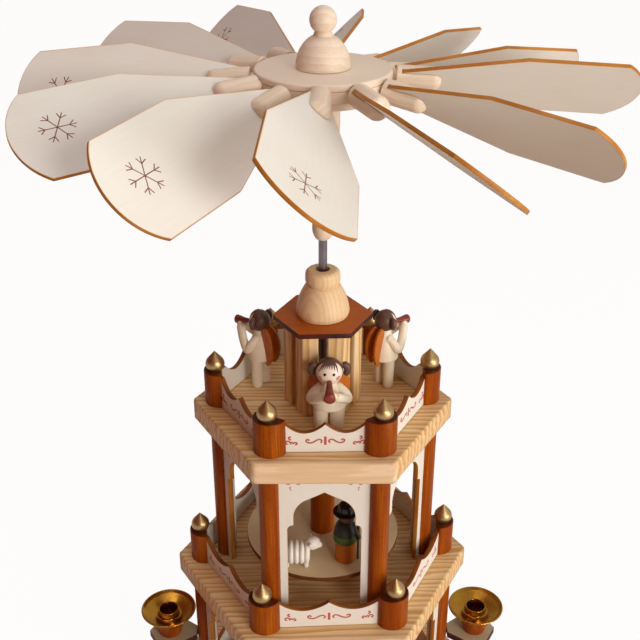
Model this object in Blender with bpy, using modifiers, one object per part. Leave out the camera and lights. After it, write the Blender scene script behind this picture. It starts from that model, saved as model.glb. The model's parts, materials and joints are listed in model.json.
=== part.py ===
"""A three-board wooden candle pyramid with a twelve-blade wheel on a turning shaft.

Metres, +Z up. The origin is on the ground under the shaft, and the flat front is at -Y.
"""

import math

import bmesh
import bpy
from mathutils import Matrix

MM = 0.001
GAP = 0.3 * MM  # play left between two pieces that touch
GLUE = 0.6 * MM  # how far glued pieces run into each other

SIDES = 6
CORNER_ANGLES = [60.0 * corner for corner in range(SIDES)]

# Facets round a turned piece, by its size
SMALL_ROUND = 8
MEDIUM_ROUND = 10
LARGE_ROUND = 16
DISC_ROUND = 28
HALF_SIDE_ANGLE = 30.0

# Boards and the heights between them
FOOT_HEIGHT = 9 * MM
FOOT_RADIUS = 9 * MM
BOARD_THICKNESS = 14 * MM
BOARD_ROUNDING = 3.5 * MM
BOARD_CORNER_CUT = 2.4 * MM
BASE_RADIUS = 124 * MM
FOOT_CIRCLE = BASE_RADIUS - 24 * MM
MIDDLE_RADIUS = 96 * MM
TOP_RADIUS = 80 * MM
LOWER_CLEAR_HEIGHT = 112 * MM
UPPER_CLEAR_HEIGHT = 105.1 * MM
SHAFT_HOLE_RADIUS = 6 * MM
BASE_TURN = 0.55  # degrees: the base and all that stands on it sit slightly turned
MIDDLE_TURN = 1.6  # degrees: so does the middle board
MIDDLE_RAIL_TURN = 3.0  # degrees: its railing is glued on a little further round
TOP_RAIL_TURN = 1.2  # degrees: so does the railing of the top board

# Columns and arched panels
COLUMN_RADIUS = 6 * MM
LOWER_COLUMN_CIRCLE = MIDDLE_RADIUS - 14.8 * MM
UPPER_COLUMN_CIRCLE = TOP_RADIUS - 14.7 * MM
ARCH_THICKNESS = 3 * MM
ARCH_LEG_WIDTH = 4.4 * MM
PANEL_LET_IN = 2 * MM  # how far each panel is let into its columns
ARCH_SHOULDER = 3.7 * MM
ARCH_APEX_DROP = 14 * MM
ARCH_SPRING_DROP = 32 * MM
ARCH_SHOULDER_DROP = 38 * MM
ARCH_CURVE_RADIUS = 14 * MM

# Railing: corner posts, gilded finials and scalloped panels
LOWER_POST_CIRCLE = BASE_RADIUS - 27.6 * MM
MIDDLE_POST_CIRCLE = MIDDLE_RADIUS - 16 * MM
TOP_POST_CIRCLE = TOP_RADIUS - 15 * MM
POST_HEIGHT = 22 * MM
POST_RADIUS = 9.8 * MM
POST_INSET = 2.8 * MM  # the centre of its round sits this far inside the railing's corner
POST_BACK = 1 * MM
FINIAL_RADIUS = 5.8 * MM
FINIAL_CENTRE = 4 * MM
FINIAL_HEIGHT = 13 * MM
RAIL_THICKNESS = 3 * MM
RAIL_OUTSET = 1.2 * MM
RAIL_END_SETBACK = 4 * MM  # each panel ends this far from the railing's corner
RAIL_TONGUE = 4.9 * MM  # and hides this much of itself behind the post
RAIL_END_HEIGHT = 19.5 * MM
RAIL_CUSP_HEIGHT = 18.5 * MM
RAIL_DIP_HEIGHT = 12.6 * MM

# Kiosk on the top board
KIOSK_RADIUS = 23.4 * MM
KIOSK_HEIGHT = 55.9 * MM
KIOSK_WING = 8.8 * MM
KIOSK_WALL = 5 * MM
ROOF_RADIUS = 29.7 * MM
ROOF_THICKNESS = 3 * MM
ROOF_TURN = 2.4
BELL_RADIUS = 15.8 * MM
BELL_RING_RADIUS = 10.2 * MM
BELL_HEIGHT = 28.7 * MM
BELL_BORE_RADIUS = 4.25 * MM
BUSH_FLANGE_RADIUS = 6.5 * MM
BUSH_LENGTH = 8 * MM
BUSH_FLANGE_THICKNESS = 1 * MM

# Shaft and wheel
SHAFT_RADIUS = 2.5 * MM
SHAFT_TIP_LENGTH = 6 * MM
BUSH_PLAY = 0.45 * MM
BEARING_RADIUS = 5 * MM
BEARING_FLANGE_RADIUS = 8 * MM
BEARING_FLANGE_THICKNESS = 1 * MM
BEARING_DEPTH = 9 * MM
WHEEL_RISE = 204.2 * MM  # from the top board to the top face of the hub disc
HUB_RADIUS = 36.75 * MM
HUB_BAND_HEIGHT = 10 * MM
HUB_FOOT_RADIUS = 31 * MM
HUB_HEIGHT = 15 * MM
SLEEVE_TOP_RADIUS = 9.5 * MM
SLEEVE_END_RADIUS = 5.9 * MM
SLEEVE_LENGTH = 81.8 * MM
KNOB_DOME_RADIUS = 14.6 * MM
KNOB_DOME_HEIGHT = 18 * MM
KNOB_BALL_RADIUS = 7.2 * MM
KNOB_BORE_DEPTH = 8 * MM

# Blades and the pegs that hold them
BLADE_COUNT = 12
BLADE_AXIS_DROP = 2.3 * MM  # where the pegs' axes would meet, below the top of the disc
FIRST_BLADE_ANGLE = 267.1
BLADE_THICKNESS = 2 * MM
BLADE_ROOT = 41.5 * MM
BLADE_ROOT_HALF_WIDTH = 6.2 * MM
BLADE_HALF_WIDTH = 27 * MM
BLADE_SHOULDER = 103 * MM
BLADE_CORNER = 153.5 * MM
BLADE_TIP = 166 * MM
# Pitch and droop of each blade in degrees, as they were set by hand, clockwise from the front
BLADE_SETTINGS = (
    (41, 5), (45, 7), (32, 5), (50, 6), (45, 5), (47, 5),
    (44, 6), (45, 8), (48, 8), (41, 3), (44, 7), (38, 5),
)
PEG_RADIUS = 6.3 * MM
PEG_END = 62 * MM
PEG_ROUNDING = 4.5 * MM
PEG_TENON_RADIUS = 3 * MM
PEG_TENON_LENGTH = 9 * MM
TENON_PLAY = 0.6 * MM

# Turntables and what stands on them
TURNTABLE_THICKNESS = 3 * MM
UPPER_TURNTABLE_RADIUS = 49.6 * MM
LOWER_TURNTABLE_RADIUS = 58 * MM
TURNTABLE_RISE = 19.6 * MM
CORE_RADIUS = 7.9 * MM
CORE_HEIGHT = 68 * MM

# Candle holders
CANDLE_CIRCLE = BASE_RADIUS - 17.7 * MM
PAD_RISE = 55 * MM
PAD_THICKNESS = 5 * MM
PAD_RADIUS = 14.5 * MM
PAD_NECK_HALF_WIDTH = 4.2 * MM
ARM_THICKNESS = 6 * MM
ARM_FOOT_WIDTH = 13.4 * MM
ARM_OVERHANG = 11.7 * MM  # from the candle to the outer end of the arm
ARM_CURVE = 7 * MM  # radius of the hollow above the arm's foot
ARM_OUTER_RADIUS = CANDLE_CIRCLE + ARM_OVERHANG
ARM_INNER_RADIUS = ARM_OUTER_RADIUS - ARM_FOOT_WIDTH
CUP_FOOT_RADIUS = 8 * MM
CUP_WAIST_RADIUS = 7.9 * MM
CUP_LIP_RADIUS = 11.2 * MM
CUP_HEIGHT = 16 * MM
PAN_RISE = 21 * MM
PAN_RADIUS = 18.7 * MM
PAN_WALL = 0.8 * MM
PAN_DEPTH = 5.5 * MM
CANDLE_TUBE_RADIUS = 7 * MM
CANDLE_TUBE_DEPTH = 15 * MM

# Angels: place in x and y, and the way they face in degrees
FRONT_ANGEL = (2.5 * MM, -31 * MM, 270.0)
LEFT_ANGEL = (-38.5 * MM, 16 * MM, 150.0)
RIGHT_ANGEL = (40 * MM, 15.5 * MM, 30.0)
ANGEL_LEG_HEIGHT = 16.5 * MM
ANGEL_LEG_RADIUS = 3.3 * MM
ANGEL_LEG_SPACING = 3.9 * MM
ANGEL_HEM_RADIUS = 8.3 * MM
ANGEL_NECK_RADIUS = 3.2 * MM
ANGEL_HEAD_RADIUS = 7.4 * MM
ANGEL_HEIGHT = 47.5 * MM
ANGEL_BUN_RADIUS = 2.9 * MM
ANGEL_ARM_RADIUS = 2.3 * MM
ANGEL_SHOULDER_HEIGHT = 28.5 * MM
ANGEL_ELBOW_HEIGHT = 22.5 * MM
ANGEL_ELBOW_SPACING = 8.2 * MM
TRUMPET_HEIGHT = 37.6 * MM
TRUMPET_LENGTH = 18 * MM
TRUMPET_BELL_RADIUS = 3 * MM
WING_THICKNESS = 1.5 * MM
WING_LENGTH = 10.4 * MM
WING_BOTTOM = 14.5 * MM
WING_MIDDLE = 24 * MM
WING_TOP = 37 * MM
WING_ANGLE = 48.0

# Heights that follow from the sizes above
BASE_TOP = FOOT_HEIGHT + BOARD_THICKNESS
MIDDLE_BOTTOM = BASE_TOP + LOWER_CLEAR_HEIGHT
MIDDLE_TOP = MIDDLE_BOTTOM + BOARD_THICKNESS
TOP_BOTTOM = MIDDLE_TOP + UPPER_CLEAR_HEIGHT
TOP_TOP = TOP_BOTTOM + BOARD_THICKNESS
ROOF_TOP = TOP_TOP + KIOSK_HEIGHT + ROOF_THICKNESS
HUB_TOP = TOP_TOP + WHEEL_RISE
HUB_BOTTOM = HUB_TOP - HUB_HEIGHT
BLADE_PLANE = HUB_TOP - BLADE_AXIS_DROP
PAD_TOP = BASE_TOP + PAD_RISE
BORE_RADIUS = SHAFT_RADIUS + GAP
ANGEL_HEAD_HEIGHT = ANGEL_HEIGHT - ANGEL_HEAD_RADIUS
ANGEL_NECK_HEIGHT = ANGEL_HEAD_HEIGHT - 0.8 * ANGEL_HEAD_RADIUS


def material(name, colour, roughness, metallic=0.0):
    """A plain finish; the colour is an sRGB hex value."""
    channels = [int(colour[at : at + 2], 16) / 255 for at in (0, 2, 4)]
    linear = [c / 12.92 if c <= 0.04045 else ((c + 0.055) / 1.055) ** 2.4 for c in channels]
    finish = bpy.data.materials.new(name)
    finish.use_nodes = True
    shader = finish.node_tree.nodes["Principled BSDF"]
    shader.inputs["Base Color"].default_value = (*linear, 1.0)
    shader.inputs["Roughness"].default_value = roughness
    shader.inputs["Metallic"].default_value = metallic
    finish.diffuse_color = (*linear, 1.0)
    return finish


def clear_scene():
    for thing in list(bpy.data.objects):
        bpy.data.objects.remove(thing)


def new_collection(name):
    collection = bpy.data.collections.new(name)
    bpy.context.scene.collection.children.link(collection)
    return collection


def linked(name, data, collection):
    thing = bpy.data.objects.new(name, data)
    collection.objects.link(thing)
    return thing


def baked(thing):
    """The evaluated mesh of an object, welded, cleaned and facing out. The object is removed."""
    graph = bpy.context.evaluated_depsgraph_get()
    mesh = bpy.data.meshes.new_from_object(thing.evaluated_get(graph))
    bpy.data.objects.remove(thing)
    return tidied(mesh)


def tidied(mesh, weld=0.002 * MM):
    shape = bmesh.new()
    shape.from_mesh(mesh)
    bmesh.ops.remove_doubles(shape, verts=shape.verts, dist=weld)
    bmesh.ops.dissolve_degenerate(shape, edges=shape.edges, dist=weld)
    bmesh.ops.recalc_face_normals(shape, faces=shape.faces)
    shape.to_mesh(mesh)
    shape.free()
    return mesh


def flat_mesh(name, loops, thickness):
    """A sawn piece: outlines in its own XY plane, centred on its thickness."""
    curve = bpy.data.curves.new(name, "CURVE")
    curve.dimensions = "2D"
    curve.fill_mode = "BOTH"
    curve.extrude = thickness / 2
    for loop in loops:
        spline = curve.splines.new("POLY")
        spline.points.add(len(loop) - 1)
        for point, (x, y) in zip(spline.points, loop):
            point.co = (x, y, 0.0, 1.0)
        spline.use_cyclic_u = True
    return flattened(baked(linked(name, curve, workshop)))


def turned_mesh(name, profile, steps):
    """A turned piece: (radius, height) points that run down its outer side. A bored one is closed."""
    count = len(profile)
    edges = [(at, at + 1) for at in range(count - 1)]
    if profile[0][0] > 0:
        edges.append((count - 1, 0))
    mesh = bpy.data.meshes.new(name)
    mesh.from_pydata([(radius, 0.0, height) for radius, height in profile], edges, [])
    thing = linked(name, mesh, workshop)
    screw = thing.modifiers.new("Turning", "SCREW")
    screw.axis = "Z"
    screw.angle = math.tau
    screw.steps = round(steps)
    screw.render_steps = round(steps)
    screw.use_merge_vertices = True
    screw.merge_threshold = 0.01 * MM
    return baked(thing)


def rod_mesh(radius, length, steps):
    """A plain dowel that stands on the origin."""
    shape = bmesh.new()
    bmesh.ops.create_cone(
        shape, cap_ends=True, segments=round(steps), radius1=radius, radius2=radius, depth=length,
        matrix=Matrix.Translation((0, 0, length / 2)),
    )
    mesh = bpy.data.meshes.new("dowel")
    shape.to_mesh(mesh)
    shape.free()
    return mesh


def ball_mesh(radius, steps, rings):
    shape = bmesh.new()
    bmesh.ops.create_uvsphere(
        shape, u_segments=round(steps), v_segments=rings, radius=radius
    )
    mesh = bpy.data.meshes.new("ball")
    shape.to_mesh(mesh)
    shape.free()
    return mesh


def bent_rod_mesh(name, points, radius):
    """A round rod along the points, with closed ends."""
    curve = bpy.data.curves.new(name, "CURVE")
    curve.dimensions = "3D"
    curve.bevel_depth = radius
    curve.bevel_resolution = 1
    curve.use_fill_caps = True
    spline = curve.splines.new("POLY")
    spline.points.add(len(points) - 1)
    for point, place in zip(spline.points, points):
        point.co = (*place, 1.0)
    return baked(linked(name, curve, workshop))


def arc(centre_x, centre_y, radius, start, end, steps):
    """Points of an arc, from one angle in degrees to another."""
    turns = [math.radians(start + (end - start) * at / steps) for at in range(steps + 1)]
    return [(centre_x + radius * math.cos(t), centre_y + radius * math.sin(t)) for t in turns]


def turned_by(angle):
    return Matrix.Rotation(math.radians(angle), 4, "Z")


def moved(x=0.0, y=0.0, z=0.0):
    return Matrix.Translation((x, y, z))


def around(radius, height, turn=0.0, angles=CORNER_ANGLES):
    """Places on a circle, each with its own X axis pointing outwards."""
    return [turned_by(angle + turn) @ moved(radius, 0, height) for angle in angles]


def joined(name, placed):
    """One mesh in which every placed copy stays a solid of its own."""
    whole = bmesh.new()
    for mesh, matrix in placed:
        before = len(whole.verts)
        whole.from_mesh(mesh)
        whole.verts.ensure_lookup_table()
        bmesh.ops.transform(whole, matrix=matrix, verts=whole.verts[before:])
    bmesh.ops.recalc_face_normals(whole, faces=whole.faces)
    mesh = bpy.data.meshes.new(name)
    whole.to_mesh(mesh)
    whole.free()
    return mesh


def glued(name, placed):
    """One solid from (mesh, matrix) pieces that run into each other."""
    pot = new_collection(name + "_pieces")
    for mesh, matrix in placed[1:]:
        linked(name + "_piece", joined(name, [(mesh, matrix)]), pot)
    target = linked(name, joined(name, placed[:1]), workshop)
    union = target.modifiers.new("Glue", "BOOLEAN")
    union.operation = "UNION"
    union.solver = "EXACT"
    union.operand_type = "COLLECTION"
    union.collection = pot
    bpy.context.view_layer.update()
    mesh = baked(target)
    for piece in list(pot.objects):
        bpy.data.objects.remove(piece)
    bpy.data.collections.remove(pot)
    return flattened(mesh)


def flattened(mesh):
    """Merges the coplanar faces that a flat outline or a union leaves."""
    shape = bmesh.new()
    shape.from_mesh(mesh)
    bmesh.ops.dissolve_limit(
        shape, angle_limit=math.radians(0.5), verts=shape.verts, edges=shape.edges
    )
    shape.to_mesh(mesh)
    shape.free()
    return mesh


def cut(name, mesh, cutter_mesh):
    """The mesh less the cutter, which stays in the collection of cutters as a wire guide."""
    cutter = linked(name + "_cutter", cutter_mesh, cutters)
    cutter.hide_render = True
    cutter.display_type = "WIRE"
    target = linked(name, mesh, workshop)
    boolean = target.modifiers.new("Cut", "BOOLEAN")
    boolean.operation = "DIFFERENCE"
    boolean.solver = "EXACT"
    boolean.object = cutter
    bpy.context.view_layer.update()
    return baked(target)


def add_piece(name, mesh, finish, parent=None, smooth_angle=40.0):
    """A finished piece in the pyramid's collection."""
    piece = linked(name, mesh, pyramid)
    mesh.materials.clear()
    mesh.materials.append(finish)
    mesh.shade_smooth()
    mesh.set_sharp_from_angle(angle=math.radians(smooth_angle))
    piece.parent = parent
    return piece


def add_axis(name, matrix, parent=None):
    """An empty on a joint's axis, which carries the pieces that move with it."""
    empty = linked(name, None, pyramid)
    empty.empty_display_size = 20 * MM
    empty.matrix_world = matrix
    empty.parent = parent
    return empty


def hexagon(radius, corner_cut):
    """A hexagon with corners at 0, 60, ... degrees, each cut off square to its radius."""
    along = corner_cut / math.tan(math.radians(60))
    points = []
    for angle in CORNER_ANGLES:
        turn = turned_by(angle)
        for side in (-1, 1):
            corner = turn @ Matrix.Translation((radius - along, side * corner_cut, 0))
            points.append((corner.translation.x, corner.translation.y))
    return points


def round_top_edges(mesh, top, beyond, width):
    """Rounds the upper outer edges of a board, those that lie past a radius."""
    shape = bmesh.new()
    shape.from_mesh(mesh)
    on_rim = [
        edge
        for edge in shape.edges
        if edge.calc_face_angle(0.0) > 0.5
        and all(abs(v.co.z - top) < GAP and v.co.xy.length > beyond for v in edge.verts)
    ]
    bmesh.ops.bevel(
        shape, geom=on_rim, offset=width, segments=2, profile=0.5, affect="EDGES",
        clamp_overlap=True,
    )
    shape.to_mesh(mesh)
    shape.free()
    return tidied(mesh)


def board_mesh(name, radius, hole_radius):
    loops = [hexagon(radius, BOARD_CORNER_CUT), arc(0, 0, hole_radius, 0, 345, 23)]
    board = flat_mesh(name, loops, BOARD_THICKNESS)
    return round_top_edges(board, BOARD_THICKNESS / 2, radius / 2, BOARD_ROUNDING)


def arch_outline(width, height):
    """A panel with a pointed arch; X runs across, Y up from its lower edge."""
    half = width / 2
    inner = half - PANEL_LET_IN - ARCH_LEG_WIDTH
    side = inner - ARCH_SHOULDER
    spring = height - ARCH_SPRING_DROP
    shoulder = height - ARCH_SHOULDER_DROP
    curve = arc(side - ARCH_CURVE_RADIUS, spring, ARCH_CURVE_RADIUS, 0, 60, 4)
    right = [(half, height), (half, 0), (inner, 0), (inner, shoulder - ARCH_SHOULDER / 2)]
    right += [(side, shoulder)] + curve
    apex = [(0, height - ARCH_APEX_DROP)]
    return right + apex + [(-x, y) for x, y in reversed(right)]


def upright():
    """Stands a flat piece up: its X runs along the side of the hexagon, its Y goes up."""
    return Matrix.Rotation(math.radians(90), 4, "Z") @ Matrix.Rotation(math.radians(90), 4, "X")


def side_places(apothem, height, turn):
    """Places in the middle of each side, with flat pieces standing along it."""
    angles = [angle + HALF_SIDE_ANGLE for angle in CORNER_ANGLES]
    return [place @ upright() for place in around(apothem, height, turn, angles)]


def apothem_of(circle):
    return circle * math.cos(math.radians(HALF_SIDE_ANGLE))


def make_board(name, radius, top, hole_radius, turn, feet=()):
    board = board_mesh(name, radius, hole_radius)
    place = moved(z=top - BOARD_THICKNESS / 2) @ turned_by(turn)
    mesh = glued(name, [(board, place), *feet]) if feet else joined(name, [(board, place)])
    add_piece(name, mesh, pine)


def feet_under_base():
    """Turned feet, glued under the corners of the base."""
    neck = FOOT_HEIGHT + GLUE
    profile = [(0, neck), (7 * MM, neck), (FOOT_RADIUS, FOOT_HEIGHT - 3 * MM)]
    profile += [(FOOT_RADIUS, 3 * MM), (7 * MM, 0), (0, 0)]
    foot = turned_mesh("foot", profile, MEDIUM_ROUND)
    return [(foot, place) for place in around(FOOT_CIRCLE, 0, BASE_TURN)]


def make_arcade(name, circle, bottom, clear_height, turn):
    """Columns between two boards, with an arched panel let into each neighbouring pair."""
    height = clear_height - 2 * GAP
    column = rod_mesh(COLUMN_RADIUS, height, MEDIUM_ROUND)
    placed = [(column, place) for place in around(circle, bottom + GAP, turn)]
    width = circle - 2 * (COLUMN_RADIUS - PANEL_LET_IN)
    panel = flat_mesh(name, [arch_outline(width, height)], ARCH_THICKNESS)
    places = side_places(apothem_of(circle), bottom + GAP, turn)
    placed += [(panel, place) for place in places]
    add_piece(name, glued(name, placed), cream)


def post_outline():
    """A half-round corner post: the round faces outwards, the back is flat."""
    nose = arc(-POST_INSET, 0, POST_RADIUS, 0, 90, 5)
    half = nose + [(-POST_INSET - POST_BACK, POST_RADIUS)]
    return half + [(x, -y) for x, y in reversed(half[1:])]


def finial_profile():
    """A gilded drop: a ball on a small flat foot, drawn out to a point."""
    rise = FINIAL_HEIGHT - FINIAL_CENTRE
    touch = math.degrees(math.asin(FINIAL_RADIUS / rise))
    foot = math.degrees(math.asin(FINIAL_CENTRE / FINIAL_RADIUS))
    ball = arc(0, FINIAL_CENTRE, FINIAL_RADIUS, touch, -foot, 4)
    return [(0, FINIAL_HEIGHT)] + ball + [(0, 0)]


def rail_outline(length):
    """A railing panel with two dips and a cusp between them; X along, Y up."""
    half = length / 2
    open_half = half - RAIL_TONGUE
    swing = RAIL_END_HEIGHT - RAIL_DIP_HEIGHT
    cusp_swing = RAIL_CUSP_HEIGHT - RAIL_DIP_HEIGHT
    steps = 6
    dips = []
    for at in range(steps + 1):
        share = at / steps
        rise = swing if share > 0.5 else cusp_swing
        height = RAIL_DIP_HEIGHT + rise * abs(2 * share - 1) ** 2
        dips.append((open_half * share, height))
    right = [(half, 0), (half, RAIL_END_HEIGHT)] + list(reversed(dips))
    return right + [(-x, y) for x, y in reversed(right[:-1])]


def rail_length(circle):
    return circle - 2 * RAIL_END_SETBACK


def make_railing(name, circle, top, turn):
    """Six corner posts with a gilded finial each, and the scalloped panels between them."""
    post = flat_mesh(name, [post_outline()], POST_HEIGHT)
    finial = turned_mesh(name, finial_profile(), SMALL_ROUND)
    panel = flat_mesh(name, [rail_outline(rail_length(circle))], RAIL_THICKNESS)
    apothem = apothem_of(circle) + RAIL_OUTSET - RAIL_THICKNESS / 2
    placed = [(panel, place) for place in side_places(apothem, top + GAP, turn)]
    for place in around(circle, top + GAP, turn):
        placed.append((post, place @ moved(z=POST_HEIGHT / 2)))
        placed.append((finial, place @ moved(z=POST_HEIGHT - GLUE)))
    add_piece(name, glued(name, placed), stain)


def make_bearing():
    """A brass cup let into the base, in whose hollow the shaft's point runs."""
    lip = BASE_TOP + GAP + BEARING_FLANGE_THICKNESS
    bottom = BASE_TOP - BEARING_DEPTH
    mouth = BEARING_RADIUS - 1 * MM
    profile = [(0, bottom + 1.5 * MM), (mouth, bottom + 5.5 * MM), (mouth, lip)]
    profile += [(BEARING_FLANGE_RADIUS, lip), (BEARING_FLANGE_RADIUS, BASE_TOP + GAP)]
    profile += [(BEARING_RADIUS, BASE_TOP + GAP), (BEARING_RADIUS, bottom), (0, bottom)]
    add_piece("bearing_cup", turned_mesh("bearing_cup", profile, MEDIUM_ROUND), brass)
    return bottom + 1.5 * MM


def make_kiosk():
    """Six angled corner posts under a roof plate, the turned bell and the bush for the shaft."""
    angle = math.radians(HALF_SIDE_ANGLE)
    normal = (math.cos(angle), math.sin(angle))
    along = (-normal[1], normal[0])
    end = tuple(KIOSK_WING * a for a in along)
    tip = (KIOSK_RADIUS + end[0], end[1])
    inner_tip = (tip[0] - KIOSK_WALL * normal[0], tip[1] - KIOSK_WALL * normal[1])
    inner_corner = KIOSK_RADIUS - KIOSK_WALL / normal[0]
    outline = [(KIOSK_RADIUS, 0), tip, inner_tip, (inner_corner, 0)]
    outline += [(inner_tip[0], -inner_tip[1]), (tip[0], -tip[1])]
    height = KIOSK_HEIGHT - GAP + GLUE
    post = flat_mesh("kiosk_post", [outline], height)
    hole = arc(0, 0, BELL_BORE_RADIUS, 0, 337.5, 15)
    plate = flat_mesh("roof_plate", [hexagon(ROOF_RADIUS, 0.6 * MM), hole], ROOF_THICKNESS)
    placed = [(plate, moved(z=ROOF_TOP - ROOF_THICKNESS / 2) @ turned_by(ROOF_TURN))]
    for corner in CORNER_ANGLES:
        placed.append((post, moved(z=TOP_TOP + GAP + height / 2) @ turned_by(corner)))
    add_piece("kiosk", glued("kiosk", placed), pine)

    top = BELL_HEIGHT
    ring = BELL_RING_RADIUS
    profile = [(BELL_BORE_RADIUS, top), (ring - 3 * MM, top)]
    profile += arc(ring - 3 * MM, top - 3 * MM, 3 * MM, 70, 0, 3)
    profile += [(ring, top - 7.5 * MM), (ring - 1.2 * MM, top - 9.5 * MM)]
    profile += [(ring + 0.6 * MM, top - 11 * MM), (ring + 3.2 * MM, top - 16 * MM)]
    profile += [(BELL_RADIUS - 0.6 * MM, top - 22 * MM), (BELL_RADIUS, top - 26 * MM)]
    profile += [(BELL_RADIUS - 0.7 * MM, 0), (BELL_BORE_RADIUS, 0)]
    bell = add_piece("roof_bell", turned_mesh("roof_bell", profile, LARGE_ROUND), light_wood)
    bell.location.z = ROOF_TOP + GAP

    hole_radius = SHAFT_RADIUS + BUSH_PLAY
    outer = BELL_BORE_RADIUS - GAP
    under = ROOF_TOP - ROOF_THICKNESS - GAP
    top = under + BUSH_LENGTH
    profile = [(hole_radius, top), (outer, top), (outer, under), (BUSH_FLANGE_RADIUS, under)]
    profile += [(BUSH_FLANGE_RADIUS, under - BUSH_FLANGE_THICKNESS)]
    profile += [(hole_radius, under - BUSH_FLANGE_THICKNESS)]
    add_piece("guide_bush", turned_mesh("guide_bush", profile, MEDIUM_ROUND), brass)


def make_candle_holders():
    """Curved arms on the base, each with a pad and a turned cup, and a loose brass pan in it."""
    pad_bottom = PAD_TOP - PAD_THICKNESS
    half = [(PAD_RADIUS, 0), (PAD_RADIUS / 2, apothem_of(PAD_RADIUS))]
    half += [(-PAD_RADIUS / 2, apothem_of(PAD_RADIUS))]
    neck = LOWER_COLUMN_CIRCLE + COLUMN_RADIUS + GAP - CANDLE_CIRCLE
    half += [(neck, PAD_NECK_HALF_WIDTH)]
    pad = flat_mesh("pad", [half + [(x, -y) for x, y in reversed(half[1:])]], PAD_THICKNESS)

    rise = pad_bottom + GLUE - (BASE_TOP + GAP)
    outer = [(ARM_OUTER_RADIUS, 0), (ARM_OUTER_RADIUS, 3 * MM)]
    outer += arc(ARM_OUTER_RADIUS, 3 * MM + ARM_CURVE, ARM_CURVE, 250, 180, 4)[1:]
    waist = ARM_OUTER_RADIUS - ARM_CURVE
    outer += [(waist, rise - 12 * MM), (waist + 1.2 * MM, rise - 6 * MM), (waist + 4 * MM, rise)]
    lean = 8 * MM
    inner = [(ARM_INNER_RADIUS - lean, rise), (ARM_INNER_RADIUS - 0.6 * lean, rise - 4 * MM)]
    inner += [(ARM_INNER_RADIUS - 0.2 * lean, rise - 9 * MM)]
    inner += [(ARM_INNER_RADIUS, rise - 14 * MM), (ARM_INNER_RADIUS, 0)]
    arm = flat_mesh("arm", [outer + inner], ARM_THICKNESS)
    stand = Matrix.Rotation(math.radians(90), 4, "X")

    bore = CANDLE_TUBE_RADIUS + 0.6 * MM
    top = CUP_HEIGHT
    floor = PAN_RISE - CANDLE_TUBE_DEPTH - PAN_WALL - GAP
    profile = [(0, floor), (bore, floor), (bore, top - 2.2 * MM), (CUP_LIP_RADIUS, top - 0.4 * MM)]
    profile += [(CUP_LIP_RADIUS, top - 2 * MM), (CUP_LIP_RADIUS - 1.2 * MM, top - 6 * MM)]
    profile += [(CUP_WAIST_RADIUS + 1 * MM, 3 * MM), (CUP_WAIST_RADIUS, 1 * MM)]
    profile += [(CUP_FOOT_RADIUS - 0.6 * MM, -GLUE), (0, -GLUE)]
    cup = turned_mesh("cup", profile, MEDIUM_ROUND)

    tube = CANDLE_TUBE_RADIUS
    rim = PAN_RISE
    low = rim - PAN_DEPTH
    floor = rim - CANDLE_TUBE_DEPTH
    profile = [(0, floor), (tube - PAN_WALL, floor), (tube - PAN_WALL, rim - 0.4 * MM)]
    profile += [(tube, rim - 0.4 * MM), (tube, low), (PAN_RADIUS - 0.6 * MM, rim)]
    profile += [(PAN_RADIUS, rim - 0.2 * MM), (PAN_RADIUS, rim - PAN_WALL)]
    profile += [(tube, low - PAN_WALL), (tube, floor - PAN_WALL), (0, floor - PAN_WALL)]
    pan = turned_mesh("pan", profile, 16)

    pad_place = moved(CANDLE_CIRCLE, 0, PAD_TOP - PAD_THICKNESS / 2)
    cup_place = moved(CANDLE_CIRCLE, 0, PAD_TOP)
    arm_place = moved(z=BASE_TOP + GAP) @ stand
    holder = glued("candle_holder", [(arm, arm_place), (pad, pad_place), (cup, cup_place)])
    for number, angle in enumerate(CORNER_ANGLES, 1):
        turn = turned_by(angle + BASE_TURN)
        add_piece(f"candle_holder_{number}", joined("holder", [(holder, turn)]), stain)
        add_piece(f"drip_pan_{number}", joined("pan", [(pan, turn @ cup_place)]), brass)


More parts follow.
